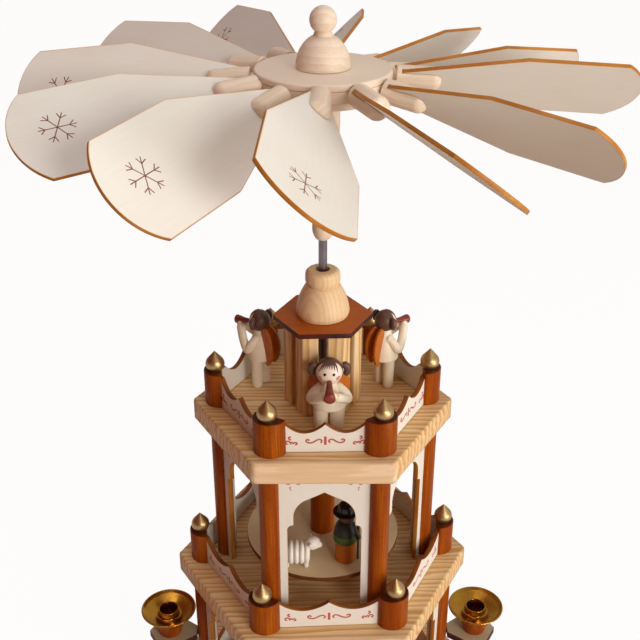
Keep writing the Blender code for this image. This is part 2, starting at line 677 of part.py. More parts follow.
def make_shaft_and_hub(point_height):
    """The steel shaft on its point, the hub disc, the sleeve under it and the knob on top."""
    knob_floor = HUB_TOP + GAP
    shaft_top = knob_floor + KNOB_BORE_DEPTH - GAP
    tip = point_height + GAP
    profile = [(0, shaft_top), (SHAFT_RADIUS, shaft_top), (SHAFT_RADIUS, tip + SHAFT_TIP_LENGTH)]
    profile += [(0, tip)]
    add_piece("shaft", turned_mesh("shaft", profile, MEDIUM_ROUND), steel, rotor)

    edge = HUB_RADIUS
    groove = HUB_TOP - 3.2 * MM
    band = HUB_TOP - HUB_BAND_HEIGHT
    profile = [(BORE_RADIUS, HUB_TOP), (edge - 1.2 * MM, HUB_TOP), (edge, HUB_TOP - 1.2 * MM)]
    profile += [(edge, groove), (edge - 0.8 * MM, groove - 0.4 * MM), (edge, groove - 0.8 * MM)]
    profile += [(edge, band), (edge - 2 * MM, band - 0.8 * MM)]
    profile += [(HUB_FOOT_RADIUS + 1 * MM, band - 2.5 * MM), (HUB_FOOT_RADIUS, HUB_BOTTOM)]
    profile += [(BORE_RADIUS, HUB_BOTTOM)]
    disc = turned_mesh("hub_disc", profile, DISC_ROUND)
    hole = rod_mesh(PEG_TENON_RADIUS + TENON_PLAY, PEG_TENON_LENGTH + 4 * MM, SMALL_ROUND)
    start = HUB_RADIUS - PEG_TENON_LENGTH - GAP
    along = Matrix.Rotation(math.radians(90), 4, "Y")
    holes = [(hole, blade_axis(at) @ moved(x=start) @ along) for at in range(BLADE_COUNT)]
    disc = cut("hub_disc", disc, joined("peg_holes", holes))
    add_piece("hub_disc", disc, light_wood, rotor, 30.0)

    top = HUB_BOTTOM - GAP
    bottom = top - SLEEVE_LENGTH
    end = SLEEVE_END_RADIUS
    profile = [(BORE_RADIUS, top), (SLEEVE_TOP_RADIUS + 1.2 * MM, top)]
    profile += [(SLEEVE_TOP_RADIUS + 1.2 * MM, top - 2 * MM), (SLEEVE_TOP_RADIUS, top - 3.5 * MM)]
    profile += [(SLEEVE_TOP_RADIUS - 1 * MM, top - 0.55 * SLEEVE_LENGTH)]
    profile += [(end + 0.8 * MM, bottom + 14 * MM), (end, bottom + 11 * MM)]
    profile += [(end + 0.2 * MM, bottom + 6 * MM), (end - 0.6 * MM, bottom + 2.4 * MM)]
    profile += [(end - 2 * MM, bottom), (BORE_RADIUS, bottom)]
    add_piece("hub_sleeve", turned_mesh("hub_sleeve", profile, LARGE_ROUND), light_wood, rotor)

    dome = KNOB_DOME_HEIGHT
    profile = [(0, dome + 2 * KNOB_BALL_RADIUS - 1 * MM)]
    profile += arc(0, dome + KNOB_BALL_RADIUS - 1 * MM, KNOB_BALL_RADIUS, 67, -52, 5)
    for share in (0.36, 0.58, 0.78, 0.93, 1.0):
        height = dome * math.sqrt(1 - share**2) * 0.97
        profile.append((KNOB_DOME_RADIUS * share, height))
    profile += [(BORE_RADIUS, 0), (BORE_RADIUS, KNOB_BORE_DEPTH), (0, KNOB_BORE_DEPTH)]
    knob = add_piece("top_knob", turned_mesh("top_knob", profile, LARGE_ROUND), light_wood, rotor)
    knob.location.z = knob_floor


def blade_axis(index):
    """The frame of a peg: X along the peg, outwards from the shaft."""
    droop = BLADE_SETTINGS[index][1]
    azimuth = FIRST_BLADE_ANGLE - index * 360 / BLADE_COUNT
    lean = Matrix.Rotation(math.radians(droop), 4, "Y")
    return moved(z=BLADE_PLANE) @ turned_by(azimuth) @ lean


def peg_base():
    """Where a peg's flat end starts along its axis: the most drooping one just clears the hub."""
    droop = math.radians(max(droop for _, droop in BLADE_SETTINGS))
    return (HUB_RADIUS + GAP + PEG_RADIUS * math.sin(droop)) / math.cos(droop)


def blade_outline():
    """Narrow root, straight flanks, then a shallow rounded tip."""
    reach = BLADE_TIP - BLADE_CORNER
    tip_radius = (BLADE_HALF_WIDTH**2 + reach**2) / (2 * reach)
    spread = math.degrees(math.asin(BLADE_HALF_WIDTH / tip_radius))
    tip = arc(BLADE_TIP - tip_radius, 0, tip_radius, 0, spread, 5)
    half = tip + [(BLADE_SHOULDER, BLADE_HALF_WIDTH), (BLADE_ROOT, BLADE_ROOT_HALF_WIDTH)]
    return half + [(x, -y) for x, y in reversed(half[1:])]


def peg_mesh():
    """A round peg along X, with a tenon for the hub, a rounded nose and a slot for the blade."""
    base = peg_base()
    length = PEG_END - base
    profile = [(0, length)]
    nose = length - PEG_ROUNDING
    for angle in (50, 0):
        turn = math.radians(angle)
        radius = PEG_RADIUS - PEG_ROUNDING * (1 - math.cos(turn))
        profile.append((radius, nose + PEG_ROUNDING * math.sin(turn)))
    profile += [(PEG_RADIUS, 0), (PEG_TENON_RADIUS, 0)]
    profile += [(PEG_TENON_RADIUS, -PEG_TENON_LENGTH), (0, -PEG_TENON_LENGTH)]
    peg = turned_mesh("peg", profile, MEDIUM_ROUND)
    lie = moved(x=base) @ Matrix.Rotation(math.radians(90), 4, "Y")
    peg = joined("peg", [(peg, lie)])
    slot_length = PEG_END - BLADE_ROOT + 10 * MM
    slot_width = BLADE_THICKNESS + 2 * GAP
    slot = bmesh.new()
    size = Matrix.Diagonal((slot_length, 4 * PEG_RADIUS, slot_width, 1))
    start = BLADE_ROOT - GAP
    bmesh.ops.create_cube(slot, size=1, matrix=moved(x=start + slot_length / 2) @ size)
    slot_mesh = bpy.data.meshes.new("slot")
    slot.to_mesh(slot_mesh)
    slot.free()
    return cut("peg", peg, slot_mesh)


def make_blades():
    """Twelve blades, each fixed in its peg and turning with it about the peg's axis."""
    blade = flat_mesh("blade", [blade_outline()], BLADE_THICKNESS)
    peg = peg_mesh()
    for index in range(BLADE_COUNT):
        pitch = BLADE_SETTINGS[index][0]
        number = f"{index + 1:02d}"
        tilt = Matrix.Rotation(math.radians(-pitch), 4, "X")
        axis = add_axis("paddle_" + number, blade_axis(index) @ tilt, rotor)
        add_piece("blade_" + number, blade, cream, axis)
        add_piece("peg_" + number, peg, light_wood, axis)


def make_turntables():
    """Two discs on the shaft, each with a turned sleeve glued on."""
    core_top = CORE_RADIUS - 0.8 * MM
    tables = (
        ("lower_turntable", LOWER_TURNTABLE_RADIUS, BASE_TOP),
        ("upper_turntable", UPPER_TURNTABLE_RADIUS, MIDDLE_TOP),
    )
    for name, radius, board in tables:
        top = board + TURNTABLE_RISE
        bottom = top - TURNTABLE_THICKNESS
        profile = [(BORE_RADIUS, top + CORE_HEIGHT), (core_top, top + CORE_HEIGHT)]
        profile += [(CORE_RADIUS, top + CORE_HEIGHT - 1 * MM), (CORE_RADIUS, top)]
        profile += [(radius - 0.6 * MM, top), (radius, top - 0.6 * MM)]
        profile += [(radius, bottom), (BORE_RADIUS, bottom)]
        add_piece(name, turned_mesh(name, profile, DISC_ROUND), cream, rotor)


def figure_parts(height, base_radius, hat):
    """A small turned figure: body, head and perhaps a hat, in (mesh, matrix) pairs."""
    head_radius = 0.115 * height
    neck = 0.70 * height
    profile = [(0, neck), (0.3 * base_radius, neck), (0.75 * base_radius, neck - 0.05 * height)]
    profile += [(1.02 * base_radius, neck - 0.14 * height), (1.1 * base_radius, 0.36 * height)]
    profile += [(0.9 * base_radius, 0.34 * height), (0.95 * base_radius, 0), (0, 0)]
    body = turned_mesh("figure_body", profile, MEDIUM_ROUND)
    head = ball_mesh(head_radius, MEDIUM_ROUND, 8)
    head_height = neck - GLUE + head_radius
    parts = [(body, Matrix()), (head, moved(z=head_height))]
    if hat:
        brim = head_height + 0.35 * head_radius
        profile = [(0, height), (0.7 * head_radius, height - 0.2 * head_radius)]
        profile += [(0.9 * head_radius, brim + 1 * MM), (1.35 * head_radius, brim + 0.6 * MM)]
        profile += [(1.35 * head_radius, brim), (0, brim)]
        parts.append((turned_mesh("hat", profile, MEDIUM_ROUND), Matrix()))
    return parts


def make_shepherd():
    """The shepherd with a staff, on the upper turntable."""
    radius = 6.8 * MM
    place = moved(14.3 * MM, -31 * MM, MIDDLE_TOP + TURNTABLE_RISE + GAP)
    parts = figure_parts(43.4 * MM, radius, True)
    parts.append((rod_mesh(0.9 * MM, 30 * MM, SMALL_ROUND), moved(1.1 * radius + 0.4 * MM, -1 * MM, 0)))
    placed = [(mesh, place @ matrix) for mesh, matrix in parts]
    add_piece("shepherd", glued("shepherd", placed), figure_paint, rotor)


def make_sheep():
    """A ribbed white sheep beside the shepherd; its length runs along X."""
    length = 17 * MM
    belly = 6.2 * MM
    ribs = 5
    profile = [(0, length), (0.55 * belly, length)]
    for rib in range(ribs):
        swell = belly * (0.86 if rib in (0, ribs - 1) else 1.0)
        at = length * (1 - (rib + 0.5) / ribs)
        profile.append((swell, at + 0.9 * MM))
        profile.append((swell, at - 0.9 * MM))
        if rib < ribs - 1:
            profile.append((0.82 * belly, length * (1 - (rib + 1) / ribs)))
    profile += [(0.55 * belly, 0), (0, 0)]
    body = turned_mesh("sheep_body", profile, MEDIUM_ROUND)
    along = Matrix.Rotation(math.radians(90), 4, "Y")
    body_height = 10.5 * MM
    place = moved(-25 * MM, -37 * MM, MIDDLE_TOP + TURNTABLE_RISE + GAP)
    parts = [(body, place @ moved(z=body_height) @ along)]
    head = ball_mesh(3.6 * MM, SMALL_ROUND, 6)
    stretch = Matrix.Diagonal((1.25, 0.9, 0.95, 1))
    parts.append((head, place @ moved(length + 2.6 * MM, 0, 14.6 * MM) @ stretch))
    leg_height = body_height - belly * 0.7
    leg = rod_mesh(1.6 * MM, leg_height, SMALL_ROUND)
    for x in (0.14 * length, 0.86 * length):
        for y in (-2.4 * MM, 2.4 * MM):
            parts.append((leg, place @ moved(x, y)))
    add_piece("sheep", glued("sheep", parts), wool_white, rotor)


def make_carol_singer():
    """A carol singer on the lower turntable."""
    place = turned_by(270) @ moved(38 * MM, 0, BASE_TOP + TURNTABLE_RISE + GAP)
    placed = [(mesh, place @ matrix) for mesh, matrix in figure_parts(44 * MM, 6.8 * MM, False)]
    add_piece("carol_singer", glued("carol_singer", placed), figure_paint, rotor)


def dress_mesh():
    hem = ANGEL_LEG_HEIGHT + GAP
    rise = ANGEL_NECK_HEIGHT - hem
    profile = [(0, ANGEL_NECK_HEIGHT), (ANGEL_NECK_RADIUS, ANGEL_NECK_HEIGHT)]
    spread = ANGEL_HEM_RADIUS - ANGEL_NECK_RADIUS
    for share in (0.12, 0.35, 0.65, 1.0):
        radius = ANGEL_NECK_RADIUS + spread * math.sin(share * math.pi / 2)
        profile.append((radius, ANGEL_NECK_HEIGHT - rise * share))
    profile.append((0, hem))
    return turned_mesh("dress", profile, MEDIUM_ROUND)


def wing_outline():
    """One plywood wing in its own plane: X away from the back, Y up."""
    rise = WING_TOP - WING_MIDDLE
    upper = [
        (WING_LENGTH * math.cos(turn), WING_MIDDLE + rise * math.sin(turn))
        for turn in (0, 0.35, 0.7, 1.05, 1.4)
    ]
    root = [(0, WING_MIDDLE + rise / 2), (0, WING_MIDDLE - 4 * MM)]
    lower = [(0.25 * WING_LENGTH, WING_BOTTOM + 3 * MM), (0.55 * WING_LENGTH, WING_BOTTOM)]
    return upper + root + lower + [(0.8 * WING_LENGTH, WING_BOTTOM + 4 * MM)]


def angel_parts():
    """One trumpeting angel that faces along X, in (mesh, matrix) pairs."""
    leg = rod_mesh(ANGEL_LEG_RADIUS, ANGEL_LEG_HEIGHT + GLUE, SMALL_ROUND)
    head = ball_mesh(ANGEL_HEAD_RADIUS, MEDIUM_ROUND, 8)
    bun = ball_mesh(ANGEL_BUN_RADIUS, SMALL_ROUND, 6)
    bun_offset = ANGEL_HEAD_RADIUS + 0.55 * ANGEL_BUN_RADIUS
    reach = ANGEL_HEAD_RADIUS + 0.6 * TRUMPET_LENGTH
    hand = (reach, 0, TRUMPET_HEIGHT - 1 * MM)
    elbow = (3 * MM, ANGEL_ELBOW_SPACING, ANGEL_ELBOW_HEIGHT)
    shoulder = (0, ANGEL_NECK_RADIUS, ANGEL_SHOULDER_HEIGHT)
    middle = tuple((a + b) / 2 for a, b in zip(elbow, hand))
    arm = bent_rod_mesh("arm", [shoulder, elbow, middle, hand], ANGEL_ARM_RADIUS)
    profile = [(0, TRUMPET_LENGTH), (TRUMPET_BELL_RADIUS, TRUMPET_LENGTH)]
    profile += [(TRUMPET_BELL_RADIUS - 0.4 * MM, TRUMPET_LENGTH - 1.4 * MM)]
    profile += [(1.5 * MM, TRUMPET_LENGTH - 5 * MM), (1 * MM, 0), (0, 0)]
    trumpet = turned_mesh("trumpet", profile, SMALL_ROUND)
    wing = flat_mesh("wing", [wing_outline()], WING_THICKNESS)
    mouth = moved(ANGEL_HEAD_RADIUS - 4 * GLUE, 0, TRUMPET_HEIGHT)
    point = Matrix.Rotation(math.radians(90), 4, "Y")
    mirror = Matrix.Diagonal((1, -1, 1, 1))
    raise_flat = Matrix.Rotation(math.radians(90), 4, "X")
    parts = [(dress_mesh(), Matrix()), (head, moved(z=ANGEL_HEAD_HEIGHT))]
    parts.append((trumpet, mouth @ point))
    for side in (-1, 1):
        parts.append((leg, moved(y=side * ANGEL_LEG_SPACING)))
        parts.append((bun, moved(-1.5 * MM, side * bun_offset, ANGEL_HEAD_HEIGHT + 1 * MM)))
        parts.append((arm, mirror if side < 0 else Matrix()))
        root = moved(-2.4 * MM, side * 1.6 * MM, 0)
        parts.append((wing, root @ turned_by(180 - side * WING_ANGLE) @ raise_flat))
    return parts


def make_angels():
    """Three trumpeting angels, facing outwards from the kiosk."""
    angel = glued("angel", angel_parts())
    places = {"angel_front": FRONT_ANGEL, "angel_left": LEFT_ANGEL, "angel_right": RIGHT_ANGEL}
    for name, (x, y, angle) in places.items():
        place = moved(x, y, TOP_TOP + GAP) @ turned_by(angle)
        add_piece(name, joined(name, [(angel, place)]), cream)


clear_scene()
workshop = bpy.context.scene.collection
pyramid = new_collection("christmas_pyramid")
cutters = new_collection("cutters")

pine = material("pine, clear varnish", "DDB077", 0.45)
light_wood = material("turned maple, clear varnish", "E4CBA6", 0.4)
stain = material("beech, red-brown stain", "8A3A12", 0.35)
cream = material("plywood, cream with burnt edges", "E6DFCC", 0.5)
brass = material("brass, polished", "C9A14A", 0.2, 1.0)
steel = material("steel, drawn", "6B6470", 0.3, 1.0)
wool_white = material("wood, white paint", "EDE6D8", 0.6)
figure_paint = material("turned wood, dark paint", "2C4A3A", 0.5)

RAILINGS = {
    "lower": (LOWER_POST_CIRCLE, BASE_TOP, BASE_TURN),
    "middle": (MIDDLE_POST_CIRCLE, MIDDLE_TOP, MIDDLE_RAIL_TURN),
    "top": (TOP_POST_CIRCLE, TOP_TOP, TOP_RAIL_TURN),
}

under_base = feet_under_base()
make_board("base_board", BASE_RADIUS, BASE_TOP, BEARING_RADIUS + GAP, BASE_TURN, under_base)
make_board("middle_board", MIDDLE_RADIUS, MIDDLE_TOP, SHAFT_HOLE_RADIUS, MIDDLE_TURN)
make_board("top_board", TOP_RADIUS, TOP_TOP, SHAFT_HOLE_RADIUS, 0.0)
make_arcade("lower_arcade", LOWER_COLUMN_CIRCLE, BASE_TOP, LOWER_CLEAR_HEIGHT, BASE_TURN)
make_arcade("upper_arcade", UPPER_COLUMN_CIRCLE, MIDDLE_TOP, UPPER_CLEAR_HEIGHT, 0.0)
for level, (circle, top, turn) in RAILINGS.items():
    make_railing(level + "_railing", circle, top, turn)
make_kiosk()
make_candle_holders()
make_angels()
bearing_point = make_bearing()
rotor = add_axis("rotor", Matrix())
make_shaft_and_hub(bearing_point)
make_blades()
make_turntables()
make_shepherd()
make_sheep()
make_carol_singer()
bpy.context.view_layer.update()
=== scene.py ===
# %% [markdown]
# # A wooden candle pyramid
#
# Three hexagonal boards stand on columns, with railings, arched panels and small figures. A
# twelve-bladed wheel on a steel shaft turns in the warm air of six candles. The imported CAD
# model is the frame: it says where each piece sits, and every piece below takes its place
# from it. All measures are in millimetres; the functions that draw and move turn them into
# metres.

# %% Load the frame
import json
import math

import bpy
from mathutils import Matrix, Vector


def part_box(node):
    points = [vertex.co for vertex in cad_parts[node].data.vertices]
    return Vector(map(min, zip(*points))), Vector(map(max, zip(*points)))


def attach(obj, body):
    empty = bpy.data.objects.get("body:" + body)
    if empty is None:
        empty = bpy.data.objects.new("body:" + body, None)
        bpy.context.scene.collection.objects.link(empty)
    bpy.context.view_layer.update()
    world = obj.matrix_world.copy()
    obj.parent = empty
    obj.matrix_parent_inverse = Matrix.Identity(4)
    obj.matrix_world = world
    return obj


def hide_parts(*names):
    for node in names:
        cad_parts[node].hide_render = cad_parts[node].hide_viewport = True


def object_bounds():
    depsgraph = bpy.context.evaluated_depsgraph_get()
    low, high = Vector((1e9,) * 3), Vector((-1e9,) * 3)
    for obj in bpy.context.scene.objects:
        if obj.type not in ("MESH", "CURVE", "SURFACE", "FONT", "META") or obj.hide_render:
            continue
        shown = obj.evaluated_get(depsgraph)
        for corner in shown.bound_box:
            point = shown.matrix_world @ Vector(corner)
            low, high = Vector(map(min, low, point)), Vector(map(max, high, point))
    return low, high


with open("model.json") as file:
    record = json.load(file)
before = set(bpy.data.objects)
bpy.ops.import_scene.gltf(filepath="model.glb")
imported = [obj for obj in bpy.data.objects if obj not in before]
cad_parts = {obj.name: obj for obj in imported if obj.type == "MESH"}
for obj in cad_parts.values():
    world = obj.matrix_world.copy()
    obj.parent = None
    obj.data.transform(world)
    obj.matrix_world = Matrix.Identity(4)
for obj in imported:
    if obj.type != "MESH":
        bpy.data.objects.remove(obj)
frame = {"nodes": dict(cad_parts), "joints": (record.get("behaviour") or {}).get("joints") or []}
cad_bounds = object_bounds()
MM = 0.001


def levels(node):
    """The heights of the underside and the top of one of the frame's nodes."""
    return [corner.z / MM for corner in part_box(node)]


base_top, middle_top, top_top = (levels(name)[1] for name in ("base_board", "middle_board", "top_board"))
hub_top = levels("hub_disc")[1]
print("board tops:", [round(z, 1) for z in (base_top, middle_top, top_top)])

# %% [markdown]
# ## The camera, the floor and the light
#
# The camera looks down at 27.6 degrees with a short telephoto lens. It was fitted to the
# corners of the boards and blades. The floor is plain and white. Two large lamps stand on the
# right in front, and a weak one hangs overhead. The room is pale on the right and above, and
# brown and dim on the left, which gives the deep red shade of such a product picture.

# %% Camera
CAMERA_PITCH = 0.4822  # radians below the horizon
CAMERA_ROLL = -0.0028
CAMERA_PLACE = Vector((-3.14, -540.2, 337.3 + top_top))
CAMERA_LENS_PX = 1030.07  # focal length in pixels of the frame
FRAME_PX = 640
SENSOR_WIDTH = 36

camera_data = bpy.data.cameras.new("camera")
camera_data.sensor_width = SENSOR_WIDTH
camera_data.lens = CAMERA_LENS_PX * SENSOR_WIDTH / FRAME_PX
camera_data.clip_start = 0.01
camera = bpy.data.objects.new("camera", camera_data)
camera.location = CAMERA_PLACE * MM
camera.rotation_euler = (math.pi / 2 - CAMERA_PITCH, 0, CAMERA_ROLL)
bpy.context.scene.collection.objects.link(camera)
bpy.context.scene.camera = camera
bpy.context.scene.view_settings.view_transform = "Standard"
print("lens:", round(camera_data.lens, 2))

# %% [markdown]
# Colours are written as sRGB hex values, as a paint program shows them. Shaders work in
# linear light, so one function converts them. Another adds a node with its settings and
# links, and the rest build on that one, which keeps each material short.

# %% Colour and node helpers
WHITE = (1, 1, 1, 1)


def tint(code):
    """Linear RGBA from an sRGB hex value."""
    channels = [int(code[at : at + 2], 16) / 255 for at in (0, 2, 4)]
    return tuple(c / 12.92 if c <= 0.04045 else ((c + 0.055) / 1.055) ** 2.4 for c in channels) + (1.0,)


def add_node(tree, kind, inputs=None, stops=None, **settings):
    """Adds a node. Inputs take values, or the sockets that feed them; stops fill a colour ramp."""
    node = tree.nodes.new("ShaderNode" + kind)
    for name, value in settings.items():
        setattr(node, name, value)
    for name, value in (inputs or {}).items():
        if isinstance(value, bpy.types.NodeSocket):
            tree.links.new(value, node.inputs[name])
        else:
            node.inputs[name].default_value = value
    if stops:
        ramp = node.color_ramp
        while len(ramp.elements) < len(stops):
            ramp.elements.new(1.0)
        for element, (position, colour) in zip(ramp.elements, stops):
            element.position = position
            element.color = colour
    return node


def calculate(tree, operation, *values, kind="Math"):
    """A math node on values or sockets."""
    return add_node(tree, kind, dict(enumerate(values)), operation=operation)


def mix_colours(tree, share, low, high):
    """The low colour where share is 0 and the high one where it is 1."""
    low, high = (tint(colour) if isinstance(colour, str) else colour for colour in (low, high))
    return add_node(tree, "Mix", {0: share, 6: low, 7: high}, data_type="RGBA").outputs[2]


def spread(tree, value, low, high, to_low=0.0, to_high=1.0):
    """Stretches a value's range from low and high to another."""
    ends = {"From Min": low, "From Max": high, "To Min": to_low, "To Max": to_high}
    return add_node(tree, "MapRange", {"Value": value, **ends}).outputs[0]


def new_material(name):
    """An empty material with its Principled shader."""
    material = bpy.data.materials.new(name)
    material.use_nodes = True
    tree = material.node_tree
    return material, tree, tree.nodes["Principled BSDF"]


# %% Floor
FLOOR_SIZE = 12.0  # metres

bpy.ops.object.select_all(action="DESELECT")
bpy.ops.mesh.primitive_plane_add(size=FLOOR_SIZE, location=(0, 0, 0))
floor = bpy.context.object
floor.name = "floor"
paper, tree, shader = new_material("white paper sweep")
shader.inputs["Base Color"].default_value = tint("C4AE9E")
shader.inputs["Roughness"].default_value = 0.9
rays = add_node(tree, "LightPath").outputs
glossy = calculate(tree, "MULTIPLY", rays["Is Glossy Ray"], 0.4)
seen = calculate(tree, "MULTIPLY_ADD", rays["Is Camera Ray"], 0.86, glossy.outputs[0])
white = add_node(tree, "Emission", {"Color": WHITE, "Strength": 1.1})
mixed = add_node(tree, "MixShader", {0: seen.outputs[0], 1: shader.outputs[0], 2: white.outputs[0]})
tree.links.new(mixed.outputs[0], tree.nodes["Material Output"].inputs["Surface"])
floor.data.materials.append(paper)

# %% World
SHADE_SIDE = Vector((-0.8, -0.45, -0.36)).normalized()  # where the room is brown and dim
ROOM_LIGHT = (
    (0.0, (0.66, 0.63, 0.59, 1.0)), (0.32, (0.42, 0.38, 0.34, 1.0)),
    (0.46, (0.3, 0.19, 0.13, 1.0)), (0.6, (0.17, 0.04, 0.022, 1.0)),
)

world = bpy.data.worlds.new("studio")
world.use_nodes = True
bpy.context.scene.world = world
tree = world.node_tree
direction = add_node(tree, "TexCoord").outputs["Generated"]
towards_shade = calculate(tree, "DOT_PRODUCT", direction, SHADE_SIDE, kind="VectorMath")
share = spread(tree, towards_shade.outputs["Value"], -1.0, 1.0)
room = add_node(tree, "ValToRGB", {"Fac": share}, stops=ROOM_LIGHT)
room.color_ramp.interpolation = "EASE"
rays = add_node(tree, "LightPath").outputs
seen = calculate(tree, "MAXIMUM", rays["Is Camera Ray"], rays["Is Transmission Ray"])
sky = mix_colours(tree, seen.outputs[0], room.outputs[0], WHITE)
tree.links.new(sky, tree.nodes["Background"].inputs["Color"])

# %% Lamps
LAMPS = (  # name, place and size in metres, power in watts, colour
    ("key lamp", Vector((1.0, -1.7, 0.95)), 0.7, 18.5, "FFFCF6"),
    ("low lamp", Vector((1.5, -1.2, 0.12)), 0.8, 22, "FFFCF8"),
    ("top lamp", Vector((-0.2, -0.1, 1.7)), 0.9, 5.5, "F8F8FF"),
)
LIT_POINT = Vector((0, 0, 0.35))
for name, spot, size, power, colour in LAMPS:
    lamp_data = bpy.data.lights.new(name, "AREA")
    lamp_data.size = size
    lamp_data.energy = power
    lamp_data.color = tint(colour)[:3]
    lamp = bpy.data.objects.new(name, lamp_data)
    lamp.location = spot
    lamp.rotation_euler = (LIT_POINT - spot).to_track_quat("-Z", "Y").to_euler()
    bpy.context.scene.collection.objects.link(lamp)
print("lamps:", [name for name, *_ in LAMPS])

# %% [markdown]
# ## The finishes
#
# Almost everything is wood, so one recipe serves it: growth rings round a far-off heart, and
# fine fibres drawn out along the grain. Each piece carries its own grain coordinates in an
# attribute, with X along its fibres. The pattern then follows a blade or a rail however it
# is turned, as it would if the piece had been cut from a plank.

# %% Wood patterns


def grained_material(name):
    """A new material, with the grain coordinates of the piece that wears it."""
    material, tree, shader = new_material(name)
    place = add_node(tree, "Attribute", attribute_name="grain").outputs["Vector"]
    return material, tree, shader, place


def burnt(tree):
    """How burnt, or how soaked with stain, the piece is at each point."""
    return add_node(tree, "Attribute", attribute_name="scorch").outputs["Fac"]


def growth_rings(tree, place, ring_width, waviness=0.5, heart=(0.0, 21, 34)):
    """Rises from 0 to 1 across each growth ring. The heart of the tree lies beside the piece."""
    heart = [MM * value for value in heart]
    slow = calculate(tree, "MULTIPLY", place, (0.12, 1.0, 1.0), kind="VectorMath")
    wander = add_node(tree, "TexNoise", {"Vector": slow.outputs[0], "Scale": 90.0, "Detail": 2.0})
    aside = calculate(tree, "MULTIPLY_ADD", place, (0.0, 1.0, 1.0), heart, kind="VectorMath")
    radius = calculate(tree, "LENGTH", aside.outputs[0], kind="VectorMath").outputs["Value"]
    count = calculate(tree, "MULTIPLY", radius, 1 / (ring_width * MM)).outputs[0]
    shifted = calculate(tree, "MULTIPLY_ADD", wander.outputs["Fac"], waviness * 4, count)
    return calculate(tree, "FRACT", shifted.outputs[0]).outputs[0]


def fibres(tree, place, length, width, detail=3.0):
    """Noise drawn out along the grain: length and width are those of one streak."""
    across = 1 / (width * MM)
    stretch = (1 / (length * MM), across, across)
    stretched = calculate(tree, "MULTIPLY", place, stretch, kind="VectorMath").outputs[0]
    return add_node(tree, "TexNoise", {"Vector": stretched, "Scale": 1.0, "Detail": detail}).outputs["Fac"]


def finish_off(tree, shader, colour, marks, roughness, depth, specular=0.5, strength=0.5):
    """Links the colour. Roughness and a bump of the given depth follow the same fine marks."""
    tree.links.new(colour, shader.inputs["Base Color"])
    tree.links.new(spread(tree, marks, 0.3, 0.7, *roughness), shader.inputs["Roughness"])
    shader.inputs["Specular IOR Level"].default_value = specular
    bump = add_node(tree, "Bump", {"Height": marks, "Distance": depth * MM, "Strength": strength})
    tree.links.new(bump.outputs[0], shader.inputs["Normal"])


# %% Pine boards
BOARD_HEART = (0.0, -200, -7)  # from the board's front edge to the heart of its tree
PINE_RING = ((0.0, "F0DAB4"), (0.45, "E6C48E"), (0.82, "C8924A"), (0.97, "E0B880"))


def make_pine():
    """Knot-free pine, planed and varnished: rings 4 mm wide, pale spring wood, amber summer wood."""
    material, tree, shader, place = grained_material("pine, planed and varnished")
    ring = growth_rings(tree, place, 4.4, 0.7, BOARD_HEART)
    stops = [(position, tint(code)) for position, code in PINE_RING]
    colour = add_node(tree, "ValToRGB", {"Fac": ring}, stops=stops).outputs[0]
    streak = fibres(tree, place, 26, 0.5)
    colour = mix_colours(tree, spread(tree, streak, 0.35, 0.7, 0.0, 0.35), colour, "CD9A5E")
    # The colour turns paler within 5 mm of the board's front edge, over the whole front face.
    from_edge = add_node(tree, "SeparateXYZ", {0: place}).outputs["Y"]
    paler_front_edge = spread(tree, from_edge, 5 * MM, 1 * MM, 0.0, 0.55)
    colour = mix_colours(tree, paler_front_edge, colour, "F2E0C4")
    tone = fibres(tree, place, 90, 12, 1.0)
    colour = mix_colours(tree, spread(tree, tone, 0.35, 0.7, 0.0, 0.3), colour, "DCA768")
    finish_off(tree, shader, colour, streak, (0.36, 0.48), 0.06, 0.3)
    return material


pine = make_pine()

# %% Turned wood


def make_turned_wood(name, rings, spring, ring_colours, streaks, roughness):
    """Turned and sealed wood: soft rings that show as hoops, and short fine fibres."""
    material, tree, shader, place = grained_material(name)
    length, from_share, most, streak_colour = streaks
    ring = growth_rings(tree, place, *rings)
    streak = fibres(tree, place, length, 0.45)
    colour = mix_colours(tree, spread(tree, ring, spring, 1.0), *ring_colours)
    colour = mix_colours(tree, spread(tree, streak, from_share, 0.75, 0.0, most), colour, streak_colour)
    finish_off(tree, shader, colour, streak, roughness, 0.04, 0.3)
    return material


lime = make_turned_wood(
    "lime wood, turned and sealed", (4.0, 0.6), 0.3, ("ECDCC8", "E4CFB4"),
    (14, 0.42, 0.35, "CFAE8E"), (0.38, 0.5),
)
honey = make_turned_wood(
    "pine, turned and oiled", (2.6, 0.35), 0.35, ("E9CDA4", "E2BE90"),
    (18, 0.4, 0.3, "CE9A62"), (0.34, 0.46),
)

# %% Stained beech


def make_stained_beech():
    """Beech, stained red-brown and varnished. Its short dark flecks take the most stain."""
    material, tree, shader, place = grained_material("beech, red-brown stain and varnish")
    streak = fibres(tree, place, 30, 0.8)
    fleck = fibres(tree, place, 2.6, 0.35, 1.0)
    band = fibres(tree, place, 70, 5, 1.0)
    colour = mix_colours(tree, spread(tree, streak, 0.3, 0.7), "AC5A0A", "883C06")
    colour = mix_colours(tree, spread(tree, band, 0.4, 0.65, 0.0, 0.6), colour, "7C2C06")
    colour = mix_colours(tree, spread(tree, fleck, 0.56, 0.68, 0.0, 0.45), colour, "5A2008")
    colour = mix_colours(tree, spread(tree, burnt(tree), 0.0, 1.0, 0.0, 0.8), colour, "2A0A12")
    finish_off(tree, shader, colour, fleck, (0.3, 0.42), 0.03, 0.2)
    shader.inputs["Specular Tint"].default_value = tint("FFC9A0")
    return material


stained_beech = make_stained_beech()

# %% [markdown]
# The blades, rails and arches are sawn from birch plywood by a laser. It leaves the cut edge
# charred brown, and a narrow amber scorch on the face beside it. A second attribute, from 0
# on the open face to 1 on the cut edge, says how burnt the wood is.

# %% Laser-cut plywood


